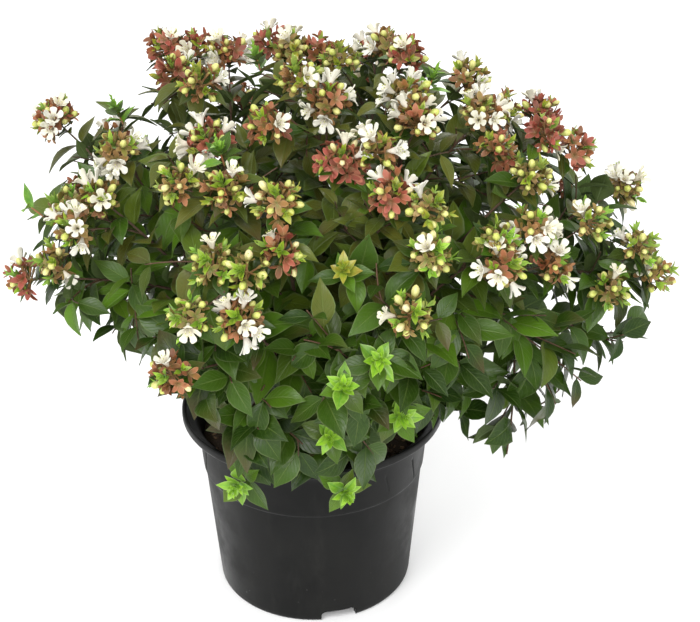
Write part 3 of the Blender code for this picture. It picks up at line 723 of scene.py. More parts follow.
LEAF_PAINT = leaf_paint()
YOUNG_PAINT = young_paint()
CALYX_PAINT = calyx_paint()
PETAL_PAINT = petal_paint()
BUD_PAINT = bud_paint()
BARK_PAINT = bark_paint()
POT_PAINT = pot_paint()
COMPOST_PAINT = compost_paint()


# ---------------------------------------------------------------- stems
class Stem:
    """A run of points with a radius at each, on one shoot of the CAD."""

    def __init__(self, path, thick, thin, shoot, order):
        self.path = path
        self.radii = np.linspace(thick, thin, len(path))
        self.shoot = shoot
        self.order = order  # 0 main stem, 1 side stem, 2 and on twigs
        steps = norm(np.diff(path, axis=0), axis=1)
        self.marks = np.concatenate(([0.0], np.cumsum(steps)))
        self.length = self.marks[-1]
        slopes = np.gradient(path, axis=0)
        self.slopes = slopes / norm(slopes, axis=1)[:, None]

    def along(self, marks):
        """(points, directions) at distances along the stem."""
        points = [np.interp(marks, self.marks, self.path[:, k]) for k in range(3)]
        slopes = [np.interp(marks, self.marks, self.slopes[:, k]) for k in range(3)]
        return np.column_stack(points), np.column_stack(slopes)

    def at(self, mark):
        points, slopes = self.along(np.array([mark]))
        return points[0], unit(slopes[0])


def curve(start, middle, end, spacing=0.006):
    length = norm(middle - start) + norm(end - middle)
    share = np.linspace(0, 1, max(4, ceil(length / spacing)) + 1)[:, None]
    return (1 - share) ** 2 * start + 2 * (1 - share) * share * middle + share**2 * end


def main_curve(azimuth, radius, height):
    """The CAD's own route: up from the burl and out, and arched over the rim where it ends low."""
    end = from_plan(azimuth, radius, height)
    start = polar(azimuth, BURL_RADIUS * 0.45, SOIL_CROWN + BURL_HEIGHT * 0.6)
    middle = (start + end) / 2 + UP * (max(0.0, 0.245 - end[2]) * 0.9 + 0.1 * norm(end - start))
    return curve(start, middle, end)


def side_curve(start, slope, end, hold=0.35, rise=0.06):
    """A side stem's route: it leaves forwards and out, and bends to its tip."""
    reach = norm(end - start)
    leaving = unit(unit(end - start) + 0.6 * slope)
    return curve(start, start + leaving * hold * reach + UP * rise * reach, end)


FIRST_SITE = (0.36, 0.12)  # share of a main stem, and of another, where its first twig may leave
LAST_SITE = 0.86
SITE_STEP = 0.005
SHORTEST_TWIG = 0.012


class Bush:
    """All stems so far, the leaves' middles and the heads, for finding free places."""

    def __init__(self):
        self.stems = []
        self.heads = []  # (base, axis, kind, node or None, shoot)
        self.middles = defaultdict(list)  # the leaves' middles, by their cell in space
        self.sites = np.empty((0, 8))  # where a twig could leave: point, direction, stem's number, mark

    def add(self, stem):
        if stem.order <= MOST_ORDER:
            first = FIRST_SITE[stem.order > 0]
            marks = np.arange(first * stem.length, LAST_SITE * stem.length, SITE_STEP)
            owner = np.full(len(marks), len(self.stems))
            self.sites = np.vstack((self.sites, np.column_stack((*stem.along(marks), owner, marks))))
        self.stems.append(stem)
        return stem

    def launch(self, target):
        """(stem, mark) where a twig to the target leaves best: near, below it, and heading its way."""
        spots = self.sites[:, :3]
        ways = target - spots
        gaps = norm(ways, axis=1)
        cost = 1.6 * gaps - np.einsum("ij,ij->i", ways, self.sites[:, 3:6])
        past = norm(spots - HEART, axis=1) > norm(target - HEART)
        cost = np.where(past, cost * 1.8, cost)
        owner, mark = self.sites[np.argmin(np.where(gaps < SHORTEST_TWIG, 1e9, cost)), 6:]
        return self.stems[int(owner)], mark

    def twig(self, target, kind=None):
        stem, mark = self.launch(target)
        path = side_curve(*stem.at(mark), target)
        order = min(stem.order, MOST_ORDER) + 1
        made = self.add(Stem(path, TWIG_RADIUS, TIP_RADIUS * 0.75, stem.shoot, order))
        if kind:
            self.head(made, kind)

    def head(self, stem, kind, node=None):
        """A head at a stem's end, turned out and up to the light."""
        base, slope = stem.path[-1], stem.slopes[-1]
        young = kind in ("rosette", "autumn", "sprig", "pair")
        ahead, outward, upward = (0.25, 0.8, 0.6) if young else (0.4, 0.75, 0.25)
        axis = slope * ahead + unit(base - HEART) * outward + UP * upward
        self.heads.append((base, unit(axis), kind, node, stem.shoot))

    def crowded(self, point, gap):
        """True if a leaf's middle is already within the gap. Otherwise this one is noted."""
        own = point // gap
        for step in product((-1, 0, 1), repeat=3):
            if any(norm(other - point) < gap for other in self.middles.get(tuple(own + step), ())):
                return True
        self.middles[tuple(own)].append(point)
        return False


# ---------------------------------------------------------------- where foliage may be
SKIRT_RADII = (0.1, 0.14, 0.17, 0.2, 0.24)
# azimuth, then the lowest height of foliage in mm at each of those radii
SKIRT_ROWS = (
    (0, 150, 162, 172, 184, 200), (30, 160, 172, 184, 198, 220), (60, 165, 182, 196, 212, 235),
    (90, 170, 188, 202, 218, 240), (120, 168, 186, 200, 216, 240), (150, 160, 182, 200, 216, 240),
    (180, 145, 176, 204, 226, 250), (200, 162, 202, 234, 262, 280), (215, 170, 222, 246, 268, 290),
    (230, 158, 207, 246, 275, 290), (240, 142, 198, 226, 260, 280), (250, 122, 154, 200, 236, 270),
    (262, 126, 162, 190, 220, 260), (270, 130, 166, 194, 224, 260), (283, 120, 152, 180, 215, 260),
    (292, 126, 170, 198, 228, 260), (300, 150, 186, 210, 230, 260), (310, 160, 186, 200, 206, 255),
    (320, 163, 172, 158, 198, 250), (330, 160, 138, 148, 198, 248), (340, 152, 120, 144, 196, 242),
    (350, 150, 142, 152, 188, 215), (360, 150, 160, 168, 182, 200),
)
SKIRT_TURNS, *SKIRT_HEIGHTS = np.array(SKIRT_ROWS).T / np.array((1, *[1000] * len(SKIRT_RADII)))[:, None]
ROOM = tuple(0.03 * (high - low) + 0.008 for low, high in zip(cad_low, cad_high))
LOWEST_CORNER = np.array(cad_low) - ROOM
HIGHEST_CORNER = np.array(cad_high) + ROOM
SKIRT_START = 0.088  # nearer the axis, foliage may hang down to the compost
POT_TOP = 0.1465
RIM_FOOT = 0.128
RIM_CLEARANCE = 0.0968  # radii of the pot, and a little more
WALL_CLEARANCE = 0.0865
POT_INSIDE = 0.08
WATERED_RADII = (0.04, 0.115)  # the part of the pot that is kept open behind, from one azimuth to another
WATERED_TURNS = (60, 205)
WATERED_TOP = 0.158


def between(values, limits):
    return (values > limits[0]) & (values < limits[1])


def lowest(turn, radius):
    """How low foliage may hang at each azimuth and radius."""
    heights = np.array([np.interp(turn, SKIRT_TURNS, column) for column in SKIRT_HEIGHTS])
    share = np.interp(radius, SKIRT_RADII, range(len(SKIRT_RADII)))
    inner = np.minimum(share.astype(int), len(SKIRT_RADII) - 2)
    each = np.arange(len(turn))
    floor = heights[inner, each] + (heights[inner + 1, each] - heights[inner, each]) * (share - inner)
    return np.where(radius > SKIRT_START, floor, SOIL_CROWN)


def outside(points):
    """True if a point is past the CAD's box and its margin, too low, in the pot, or where water is poured."""
    if (points < LOWEST_CORNER).any() or (points > HIGHEST_CORNER).any():
        return True
    turn = np.degrees(np.arctan2(points[:, 1], points[:, 0])) % 360
    radius = np.hypot(points[:, 0], points[:, 1])
    height = points[:, 2]
    if (height < lowest(turn, radius)).any():
        return True
    wall = np.where(height > RIM_FOOT, RIM_CLEARANCE, WALL_CLEARANCE)
    in_pot = (height < POT_TOP) & (radius < wall) & ((radius > POT_INSIDE) | (height < SOIL_CROWN + 0.001))
    watered = between(radius, WATERED_RADII) & between(turn, WATERED_TURNS) & (height < WATERED_TOP)
    return bool((in_pot | watered).any())


HEAD_BOXES = np.array([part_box(node) for tips in SHOOTS for node, *_ in tips if node])
HEAD_PLACES = (HEAD_BOXES[:, 0] + HEAD_BOXES[:, 1]) / 2
HEAD_RAYS = np.array([unit(spot - HEART) for spot in HEAD_PLACES])
HEAD_REACH = np.array([norm(spot - HEART) for spot in HEAD_PLACES])


def envelope(ray):
    """The bush's radius from its heart in a direction, which follows the CAD's heads."""
    weight = np.exp(26 * (HEAD_RAYS @ ray - 1))
    return float(weight @ HEAD_REACH / weight.sum())


def depth(point):
    """0 at the bush's surface and 1 at its heart."""
    return 1 - norm(point - HEART) / envelope(unit(point - HEART))


# ---------------------------------------------------------------- organs
def draws(chance, *ranges):
    """One even draw from each range."""
    return tuple(chance(low, high) for low, high in ranges)


def add_blade(batch, blade, origin, along, up, tone, **form):
    batch.add(blade.shape, place(blade.bent(**form), origin, basis(along, up)), tone)


def add_tube(batch, path, radii, sides, tone):
    batch.add(*tube(path, radii, sides), tone)


def ring_of(axis, chance, count, start=None):
    """count directions round an axis, evenly spread."""
    side = unit(np.cross(axis, vec(0.37, 0.21, 0.9) if abs(axis[2]) < 0.9 else vec(1, 0.2, 0)))
    start = chance(0, FULL_TURN) if start is None else start
    return [spin(side, axis, start + FULL_TURN * k / count) for k in range(count)]


def leaning(axis, out, lean):
    """The direction that leans from the axis towards out."""
    return axis * cos(lean) + out * sin(lean)


ORGAN_THICKNESS = 0.0003  # of bracts, sepals and fallen leaves
LONGEST_BRACT = 0.0125  # a longer one has the leaf's finer form


def add_calyx(kit, foot, way, age, spread, chance, size=1.0):
    """An ovary on its stalk with five sepals round its end. It returns the end point."""
    end = foot + way * 0.004 * size
    add_tube(kit["calyces"], np.linspace(foot, end, 3), (0.0006, 0.001, 0.0009), 5,
             (0.15 + age * 0.3, chance(0.1, 0.5), 0.0))
    light = chance(0.1, 0.9)
    for out in ring_of(way, chance, 5):
        along = leaning(way, out, spread + chance(-0.24, 0.24)) + chance(-0.1, 0.1, 3)
        length = 0.008 * size * chance(0.82, 1.14)
        tone = (*np.clip((age + chance(-0.1, 0.1), light + chance(-0.45, 0.45)), 0, 1), 0)
        add_blade(kit["calyces"], SEPAL, end, along, way, tone, length=length,
                  width=length * chance(0.42, 0.54), fold=chance(0.0, 0.55),
                  bend=chance(-0.3, 0.8), thick=ORGAN_THICKNESS)
    return end


STAMEN = ((0.0008, 0.005), (0.0014, 0.009), (0.0018, 0.0114))  # from the axis, along it
STAMEN_RADII = (0.00016, 0.00014, 0.00012)
ANTHER = (-0.0002, 0.0004, 0.0009)  # along the flower from the stamen's end
ANTHER_RADII = (0.0002, 0.00046, 0.0002)


def add_corolla(kit, foot, way, chance):
    """An open flower whose five lobes each spread a little differently, with four stamens."""
    size = chance(0.84, 1.02)
    points = COROLLA_POINTS.copy()
    lobe, out = COROLLA_LOBES[:, 0].astype(int), COROLLA_LOBES[:, 1]
    lift = chance(-0.0024, 0.002, LOBES)
    reach = chance(0.86, 1.12, LOBES)
    points[:, 1] += lift[lobe] * out**1.5
    points[:, (0, 2)] *= (1 + (reach[lobe] - 1) * out)[:, None]
    axes = basis(way, chance.normal(0, 1, 3))
    tone = draws(chance, (0.1, 1.0), (0, 1), (0, 1))
    kit["corollas"].add(COROLLA_SHAPE, place(points * size, foot, axes), tone)
    for k in range(4):
        turn = FULL_TURN * (k + 0.5) / 4
        line = np.array([(off * sin(turn), along, off * cos(turn)) for off, along in STAMEN])
        line = place(line * size, foot, axes)
        add_tube(kit["corollas"], line, STAMEN_RADII, 3, (0.2, 0.5, 0.9))
        add_tube(kit["buds"], line[-1] + np.outer(ANTHER, way), ANTHER_RADII, 3, (0.4, 0.5, 0.0))


def add_bud(kit, foot, way, ripe, chance):
    """ripe is 0 for a small green globe and 1 for a long cream bud about to open."""
    size = chance(0.68, 0.98)
    axes = basis(way + chance(-0.22, 0.22, 3), chance.normal(0, 1, 3))
    stretch = vec(size, size * (chance(0.82, 1.08) + 0.4 * max(0.0, ripe - 0.6)), size)
    kit["buds"].add(BUD_SHAPE, place(BUD_POINTS * stretch, foot, axes), (ripe, chance(0, 1), 0.0))


def add_bracts(batch, foot, axis, count, lengths, leans, chance, autumn, light, width=0.42, start=None):
    """Small young leaves round an axis, in opposite pairs that turn a quarter each time."""
    start = chance(0, FULL_TURN) if start is None else start
    for k in range(count):
        share = k / max(count - 1, 1)
        lean = leans[0] + (leans[1] - leans[0]) * share + chance(-0.2, 0.2)
        turn = start + pi * (k % 2) + pi / 2 * (k // 2) + chance(-0.35, 0.35)
        out = ring_of(axis, chance, 1, turn)[0]
        length = (lengths[0] + (lengths[1] - lengths[0]) * share) * chance(0.78, 1.2)
        tone = (np.clip(chance(*light) + 0.15 * share, 0, 1), autumn, chance(0, 0.55))
        add_blade(batch, BRACT if length < LONGEST_BRACT else LEAF, foot + axis * (0.0012 * share * count),
                  leaning(axis, out, lean), axis, tone, length=length,
                  width=length * width * chance(0.85, 1.15), fold=chance(0.25, 0.6),
                  bend=chance(-0.1, 0.6), thick=ORGAN_THICKNESS)


WHORLS = (  # leaves, their lengths, lean from the axis, height up the tip, how light, width and turn
    (4, (0.016, 0.0135), (1.28, 1.05), 0.0, (0.15, 0.55), 0.54, 0.0),
    (4, (0.012, 0.01), (1.05, 0.75), 0.0022, (0.4, 0.8), 0.54, 0.8),
    (6, (0.0088, 0.007), (0.9, 0.55), 0.0042, (0.6, 1.0), 0.5, 0.3),
    (8, (0.006, 0.0042), (0.75, 0.1), 0.006, (0.75, 1.0), 0.46, 1.1),
)


def add_rosette(kit, leaves, base, axis, chance, autumn=0.0, size=1.0, openness=1.0):
    """The leafy tip of a young shoot: a tuft with older leaves below it, which join the shoot's own."""
    start = chance(0, FULL_TURN)
    add_bracts(leaves, base - axis * 0.006 * size, axis, 4, (0.025 * size, 0.02 * size),
               (1.45 * openness, 1.2 * openness), chance, 0.3 * autumn, (0.45, 0.95), 0.56, start + 0.5)
    for count, lengths, leans, lift, light, width, turn in WHORLS:
        lengths = tuple(length * size for length in lengths)
        leans = tuple(lean * openness for lean in leans)
        foot, turn = base + axis * lift * size, start + turn
        add_bracts(kit["bracts"], foot, axis, count, lengths, leans, chance, autumn, light, width, turn)


HEAD_FORMS = {  # florets, share that are open flowers, share that are buds, age of the calyces, centre bracts
    "bloom": (14, 0.37, 0.33, (0.25, 0.98), 8),
    "calyx": (15, 0.06, 0.26, (0.55, 1.0), 8),
    "bud": (14, 0.06, 0.72, (0.0, 0.46), 12),
    "mixed": (16, 0.13, 0.3, (0.45, 1.0), 12),
}
HEAD_KINDS = {"flower_head": "bloom", "calyx_head": "calyx", "bud_head": "bud", "young_rosette": "rosette"}
HEAD_LOOKS = {"flower_head_02": "mixed"}  # heads past flowering, where the CAD's name says otherwise
HEAD_SIZES = {  # of the heads that aren't the usual size
    "calyx_head_01": 0.9,
    "calyx_head_02": 0.85,
    "flower_head_01": 1.15,
    "flower_head_02": 1.22,
    "bud_head_10": 1.12,
}
SIDE_HEAD_SIZE = 0.88


def add_young_tip(kit, leaves, base, axis, kind, chance):
    """A rosette, or a bare tip with small leaves. The older leaves join the shoot's own."""
    if kind == "rosette":
        return add_rosette(kit, leaves, base, axis, chance)
    if kind == "autumn":
        return add_rosette(kit, leaves, base, axis, chance, chance(0.45, 0.75), 0.8)
    bracts, tip = kit["bracts"], base + axis * 0.008
    path = np.linspace(base, base + axis * 0.01, 4)
    add_tube(kit["calyces"], path, (0.0007, 0.0006, 0.0005, 0.0004), 5, (0.7, 0.4, 0.0))
    dull = (0.0, 0.4)
    if kind == "pair":
        add_bracts(bracts, base, axis, 2, (0.008, 0.007), (1.1, 1.1), chance, 0.0, dull, 0.6)
        return add_bracts(bracts, tip, axis, 2, (0.019, 0.0165), (0.7, 1.0), chance, 0.0, dull, 0.46)
    add_bracts(bracts, base, axis, 2, (0.015, 0.014), (1.1, 1.1), chance, 0.0, dull, 0.58)
    return add_rosette(kit, leaves, tip, axis, chance, 0.0, 0.62, 0.7)


def add_head(kit, leaves, base, axis, kind, chance, scale):
    """A flower head on the end of a stem. Its foot leaves join the shoot's own."""
    count, flowers, buds, age, centre = HEAD_FORMS[kind]
    bracts = kit["bracts"]
    high = float(np.interp(base[2], (0.32, 0.35), (0, 1)))  # the upper heads are fuller and redder
    count = int(round(count * scale**2 * (1 + 0.22 * high) + chance(-1, 1)))
    order = chance.permutation(count)
    hue = chance(*age)
    for k in range(count):
        share = (k + 0.5) / count
        out = ring_of(axis, chance, 1, k * GOLDEN_ANGLE + chance(-0.3, 0.3))[0]
        way = unit(leaning(axis, out, 0.42 + 1.23 * sqrt(share)) + UP * 0.08)
        hub = base + axis * 0.006 * (1 - share)
        draw = order[k] / count
        flower = draw < flowers
        root = hub + way * chance(0.002, 0.0055 if flower else 0.0068) * scale
        add_tube(kit["calyces"], np.linspace(hub, root, 2), (0.0007, 0.0005), 4, (0.25, 0.0, 0.0))
        grown = hue + chance(-0.22, 0.22) + 0.21 * high - 0.12
        grown = float(np.clip(grown, age[0], min(1.0, age[1] + 0.2 * high)))
        if flower:
            end = add_calyx(kit, root, way, grown, chance(0.8, 1.15), chance)
            add_corolla(kit, end - way * 0.001, unit(way + chance(-0.25, 0.25, 3)), chance)
        elif draw < flowers + buds:
            end = add_calyx(kit, root, way, grown * 0.85, chance(0.6, 1.1), chance, 0.84)
            add_bud(kit, end - way * 0.001, way, chance(0, 1) ** 1.5, chance)
        else:
            add_calyx(kit, root, way, grown, chance(0.35, 1.1), chance, 0.82 + 0.26 * grown)
    tip = base + axis * 0.008
    half = centre // 2
    tint = chance(0.0, 0.3) + 0.25 * high
    add_bracts(bracts, tip, axis, half, (0.0098, 0.0078), (0.95, 0.45), chance, tint, (0.3, 0.95), 0.46)
    add_bracts(bracts, tip + axis * 0.002, axis, half, (0.0068, 0.0052), (0.6, 0.1), chance, tint, (0.5, 1.0))
    for side in ring_of(axis, chance, 4 if kind in ("bud", "mixed") else 2):
        way = unit(axis * 0.7 + side)
        tint = chance(0.0, 0.35) + 0.3 * high
        add_bracts(bracts, base + way * 0.01 * scale, way, 5, (0.0084, 0.0052), (0.8, 0.15), chance, tint,
                   (0.3, 1.0), 0.46)
    add_bracts(leaves, base - axis * 0.004, axis, 4, (0.0215, 0.0165), (1.65, 1.25), chance,
               chance(0.3, 1.0), (0.15, 0.65), 0.48)


# ---------------------------------------------------------------- leaves
LEAF_LENGTHS = (0.028, 0.041)
LEAF_PITCH = (0.013, 0.018)  # along the stem, from one pair to the next
LEAF_SPACING = 0.008  # least distance between two leaves' middles
HEAD_CLEARANCE = 0.0135
TRIES = 3
STEM_END = 0.03  # leaves are smaller and closer together this near to a stem's tip


def by_height(point, low, high, at_low, at_high):
    """A value that goes from at_low to at_high between two heights."""
    return np.interp(point[2], (low, high), (at_low, at_high))


def leaf_pose(point, axis, out, chance):
    """(along, up) of a leaf that leaves its stem at a point and turns its face out and up to the light."""
    outward = unit(point - HEART + UP * 0.03)
    along = out * 0.85 + axis * chance(0.15, 0.65) + outward * chance(0.1, 0.5)
    droop = by_height(point, 0.18, 0.34, 0.78, 0.4)
    along = along - UP * chance(0.05, 1.0) * droop + chance(-0.15, 0.15, 3)
    up = UP * chance(0.4, 1.0) + outward * chance(0.6, 1.3) + chance(-0.35, 0.35, 3)
    return unit(along), up


def is_free(bush, points, middle, head_places):
    """True if a leaf is in the bush's outline, clear of the heads and of other leaves. It is then noted."""
    tip = points[-1]
    if outside(points):
        return False
    probes = np.array((middle, tip, (middle + tip) / 2))
    if norm(head_places[:, None] - probes, axis=2).min() < HEAD_CLEARANCE:
        return False
    ray = unit(tip - HEART)
    if ray[2] > 0.15 and norm(tip - HEART) > envelope(ray) + 0.001:
        return False
    return not bush.crowded(middle, LEAF_SPACING)


def add_leaf(bush, batch, point, axis, out, size, head_places, chance):
    """One leaf, tried a few times until it is in a free place."""
    inner = depth(point)
    blade = LEAF if inner < 0.3 else INNER_LEAF
    for attempt in range(TRIES):
        along, up = leaf_pose(point, axis, out, chance)
        length = chance(*LEAF_LENGTHS) * size * (1 - 0.12 * attempt)
        width = length * (by_height(point, 0.2, 0.34, 0.53, 0.45) + chance(-0.08, 0.07))
        fold = by_height(point, 0.2, 0.34, 0.2, 0.4) + chance(-0.18, 0.22)
        bend, twist, wave, phase = draws(chance, (0.1, 0.95), (-0.4, 0.4), (0, 0.04), (0, 6))
        points = place(blade.bent(length, width, fold, bend, twist, wave, phase), point, basis(along, up))
        if is_free(bush, points, points[blade.middle], head_places):
            # Painted light and shade in the first tone: on top of a random tone, leaves are painted darker
            # low down, lighter high up, and lighter deep inside the bush in place of light that passes
            # through leaves.
            painted_light_by_height = np.interp(point[2], (0.15, 0.27, 0.34), (-0.14, 0.4, 0.68))
            light = np.clip(chance.normal(painted_light_by_height, 0.25) + 1.6 * max(0.0, inner - 0.08), 0, 1)
            olive = np.clip(by_height(point, 0.24, 0.35, 0.05, 0.84) + chance.normal(0, 0.23), 0, 1)
            batch.add(blade.shape, points, (light, chance(0, 1), olive))
            return


def dress(bush, stem, batch, head_places, chance):
    """Opposite pairs of leaves along a stem, each turned a quarter from the last."""
    bare = 0.03 if stem.order == 0 else 0.006
    mark = bare + chance(0, 0.006) + (0.3 * stem.length if stem.order == 0 else 0)
    turn = chance(0, pi)
    while mark < stem.length - 0.003:
        point, axis = stem.at(mark)
        left = stem.length - mark
        size = 1.0 if left > STEM_END else 0.66 + 0.34 * left / STEM_END
        size *= by_height(point, 0.2, 0.34, 1.16, 0.9)
        if depth(point) < 0.8:
            for out in ring_of(axis, chance, 2, turn):
                add_leaf(bush, batch, point, axis, out, size, head_places, chance)
        turn += pi / 2 + chance(-0.3, 0.3)
        mark += chance(*LEAF_PITCH) * (1.0 if left > STEM_END else 0.75)


# How many twigs end in each shell of the bush, and its share of the bush's radius.
SHELLS = ((70, 0.4), (110, 0.58), (220, 0.76), (420, 0.91))
TWIG_CLEARANCE = 0.018  # from the end of a twig to the nearest head
FOLIAGE_HANG = vec(0, 0, 0.014)  # how far its leaves hang below it


def sphere_rays(count, chance):
    """Directions spread evenly over a sphere."""
    rays = []
    for k in range(count):
        height = 1 - 2 * (k + 0.5) / count
        ray = vec(*on_circle(sqrt(1 - height * height), GOLDEN_ANGLE * k), height)
        rays.append(unit(ray + chance.normal(0, 0.05, 3)))
    return rays


def grow_bush():
    """All stems and twigs, with the heads' places. The outer twigs leave those further in."""
    chance = Chance(SEED)
    bush = Bush()
    for number, ((first, *tip), *others) in enumerate(SHOOTS, start=1):
        main = bush.add(Stem(main_curve(*tip), MAIN_STEM_RADIUS, TIP_RADIUS, number, 0))
        bush.head(main, HEAD_KINDS[first[:-3]], first)
        for fork, (node, *tip) in enumerate(others):
            path = side_curve(*main.at((FORK_SHARE + FORK_STEP * fork) * main.length), from_plan(*tip))
            side = bush.add(Stem(path, SIDE_STEM_RADIUS, TIP_RADIUS, number, 1))
            if node:
                bush.head(side, HEAD_KINDS[node[:-3]], node)
    for kind, *tip in SIDE_HEADS:
        bush.twig(from_plan(*tip), None if kind == "leafy" else kind)

    places = np.array([base + axis * 0.01 for base, axis, *_ in bush.heads])
    targets = []
    for count, share in SHELLS:
        for ray in sphere_rays(count, chance):
            spot = HEART + ray * envelope(ray) * share * chance(0.94, 1.04)
            near = norm(places - spot, axis=1).min()
            if near > TWIG_CLEARANCE and not outside(spot[None, :] - FOLIAGE_HANG):
                targets.append(spot)
    for spot in sorted(targets, key=lambda target: norm(target - HEART)):
        bush.twig(spot)
    return bush


FINISHES = {
    "calyces": (CALYX_PAINT, "calyx"),
    "corollas": (PETAL_PAINT, "petal"),
    "buds": (BUD_PAINT, "bud"),
    "bracts": (YOUNG_PAINT, "young_leaf"),
}
PETAL_THICKNESS = 0.00022


def build_bush(bush):
    """Every stem's leaves and wood, then the heads, each kind of organ of each node as one piece."""
    chance = Chance(SEED + 1)
    places = np.array([base + axis * 0.008 for base, axis, *_ in bush.heads])
    leaves = {number: Batch() for number in range(1, len(SHOOTS) + 1)}
    wood = {number: Batch() for number in leaves}
    crown = Batch()
    for stem in bush.stems:
        dress(bush, stem, leaves[stem.shoot], places, chance)
        path, radii = stem.path, stem.radii
        light = chance(0, 1)
        if stem.order == 0:
            foot = int(CROWN_SHARE * len(path)) + 1
            knots = 1 + 0.1 * np.sin(np.arange(foot + 1) * 2.3 + stem.shoot)
            add_tube(crown, path[: foot + 1], radii[: foot + 1] * knots * 1.08, 9, (1.0, light, 0.0))
            path, radii = path[foot:], radii[foot:]
        age = {0: 0.7, 1: 0.35}.get(stem.order, 0.0)
        add_tube(wood[stem.shoot], path, radii, 7 if stem.order == 0 else 5, (age, light, 0.0))
    kits = defaultdict(lambda: defaultdict(Batch))
    for base, axis, kind, node, shoot in bush.heads:
        kit = kits[node or f"shoot_{shoot:02d}_side_heads"]
        kind = HEAD_LOOKS.get(node, kind)
        if kind in HEAD_FORMS:
            size = HEAD_SIZES.get(node, 1.0 if node else SIDE_HEAD_SIZE)
            add_head(kit, leaves[shoot], base, axis, kind, chance, size)
        else:
            add_young_tip(kit, leaves[shoot], base, axis, kind, chance)
    for number in leaves:
        node = f"shoot_{number:02d}"
        leaves[number].build(node + "_leaves", LEAF_PAINT, "leaf", (node,))
        wood[number].build(node + "_stems", BARK_PAINT, "bark", (node,))
    for name, kit in kits.items():
        for organ, batch in kit.items():
            piece = batch.build(f"{name}_{organ}", *FINISHES[organ], () if "side_heads" in name else (name,))
            if organ == "corollas":
                skin = piece.modifiers.new("skin", "SOLIDIFY")
                skin.thickness = PETAL_THICKNESS
                skin.offset = 0.0
    build_crown(crown)


BURL_PROFILE = ((0.0118, -0.002), (0.013, 0.001), (0.0131, 0.0035), (0.0122, 0.006), (0.0102, 0.0082))
BURL_PROFILE += ((0.0074, 0.0097), (0.004, 0.0107), (0.0, 0.011))


def build_crown(batch):
    """The burl, lumpy and half sunk in the compost, with the old feet of the stems."""
    shape, points = turned_shape(BURL_PROFILE, 28)
    for point in points:
        lump = noise.noise(Vector(point * 230)) * 0.16 + noise.noise(Vector(point * 700)) * 0.05
        point *= 1 + lump
    batch.add(shape, place(points, vec(0, 0, SOIL_CROWN), basis(UP, vec(1, 0, 0))), (1.0, 0.5, 0.0))
    batch.build("crown_wood", BARK_PAINT, "bark", ("woody_crown",), 60)


# ---------------------------------------------------------------- pot and compost
BASE_RADIUS = 0.072
WALL_TOP_RADIUS = 0.084
WALL_TOP = 0.13
COLLAR_STEP = 0.0011  # how far the collar stands out from the wall below it
SLITS = (  # narrow grooves in the collar: azimuth and height of the top, then of the foot, and the depth
    (204.2, 0.1205, 199.1, 0.101, 0.001),
    (308.2, 0.1214, 311.6, 0.1065, 0.0004),
    (328.7, 0.1208, 333.2, 0.102, 0.001),
    (88.7, 0.1208, 93.2, 0.102, 0.001),
)
DRAINS = (-75, 45, 165)  # azimuths of the slots in the foot
DRAIN_HALF_WIDTH = 0.013
DRAIN_TOP = 0.008
DRAIN_CORNER = 0.0035
DRAIN_REACH = (0.062, 0.078)  # from the axis, a little past the foot on both sides


def wall_radius(height):
    return BASE_RADIUS + (WALL_TOP_RADIUS - COLLAR_STEP - BASE_RADIUS) * height / WALL_TOP


def pot_profile():
    """(radius, height) rows from the middle of the underside round the rim to the middle of the floor."""
    under = [(0.0004, 0.0), (0.01, 0.0), (0.0216, 0.0), (0.0224, 0.0004), (0.0242, 0.002), (0.04, 0.002)]
    under += [(0.0638, 0.002), (0.0654, 0.0008), (0.0662, 0.0), (0.07, 0.0)]
    under += [(0.0712, 0.0003), (0.0719, 0.0012)]
    wall_heights = (0.003, 0.006, 0.0065, 0.009, 0.02, 0.035, 0.05, 0.065, 0.08, 0.09, 0.0965)
    wall = [(wall_radius(h), h) for h in wall_heights]
    step = [(wall_radius(0.0976), 0.0976), (wall_radius(0.098) + 0.0002, 0.0981),
            (wall_radius(0.0988) + 0.0009, 0.0988), (wall_radius(0.0996) + COLLAR_STEP, 0.0996)]
    collar_heights = (0.101, 0.1022, 0.104, 0.106, 0.108, 0.11, 0.112, 0.114)
    collar_heights += (0.115, 0.1158, 0.1175, 0.119, 0.1203, 0.1215, 0.124, 0.128)
    collar = [(wall_radius(h) + COLLAR_STEP, h) for h in collar_heights]
    flare = [(0.0841, 0.1302), (0.0846, 0.1319), (0.0857, 0.1338), (0.0875, 0.1356), (0.0897, 0.137),
             (0.092, 0.1379), (0.0937, 0.1384), (0.0945, 0.1389), (0.0949, 0.1397)]
    lip = [(0.095, 0.1412), (0.095, 0.1432), (0.09485, 0.1442), (0.0944, 0.1448), (0.0937, 0.145),
           (0.0931, 0.1447), (0.0927, 0.144), (0.0923, 0.1424), (0.0917, 0.1414), (0.0905, 0.1406)]
    inside = [(0.0885, 0.1399), (0.0868, 0.1391), (0.0852, 0.1376), (0.084, 0.1356), (0.0832, 0.1334),
              (0.0826, 0.1308), (0.0818, 0.126), (0.0806, 0.115), (0.0785, 0.09), (0.0745, 0.045),
              (0.0709, 0.0046), (0.0702, 0.0037), (0.05, 0.0036), (0.02, 0.0036), (0.0004, 0.0036)]
    return under + wall + step + collar + flare + lip + inside


def pot_turns():
    """Azimuths of the pot's columns, closer together at the grooves."""
    turns = {float(turn) for turn in range(0, 360, 3)}
    for top, _, foot, _, _ in SLITS:
        turns |= set(np.arange(min(top, foot) - 0.8, max(top, foot) + 0.9, 0.3))
    kept = []
    for turn in sorted(turns):
        if not kept or turn - kept[-1] > 0.12:
            kept.append(turn)
    return kept


def relief(turn, height):
    """How far the grooves go into the collar, as a number below 0."""
    out = 0.0
    for top, upper, foot, lower, deep in SLITS:
        share = (height - lower) / (upper - lower)
        off = abs((turn - foot - (top - foot) * share + 180) % 360 - 180)
        if 0 <= share <= 1:
            out -= deep * max(0.0, 1 - off / (0.3 + 0.5 * share))
    return out


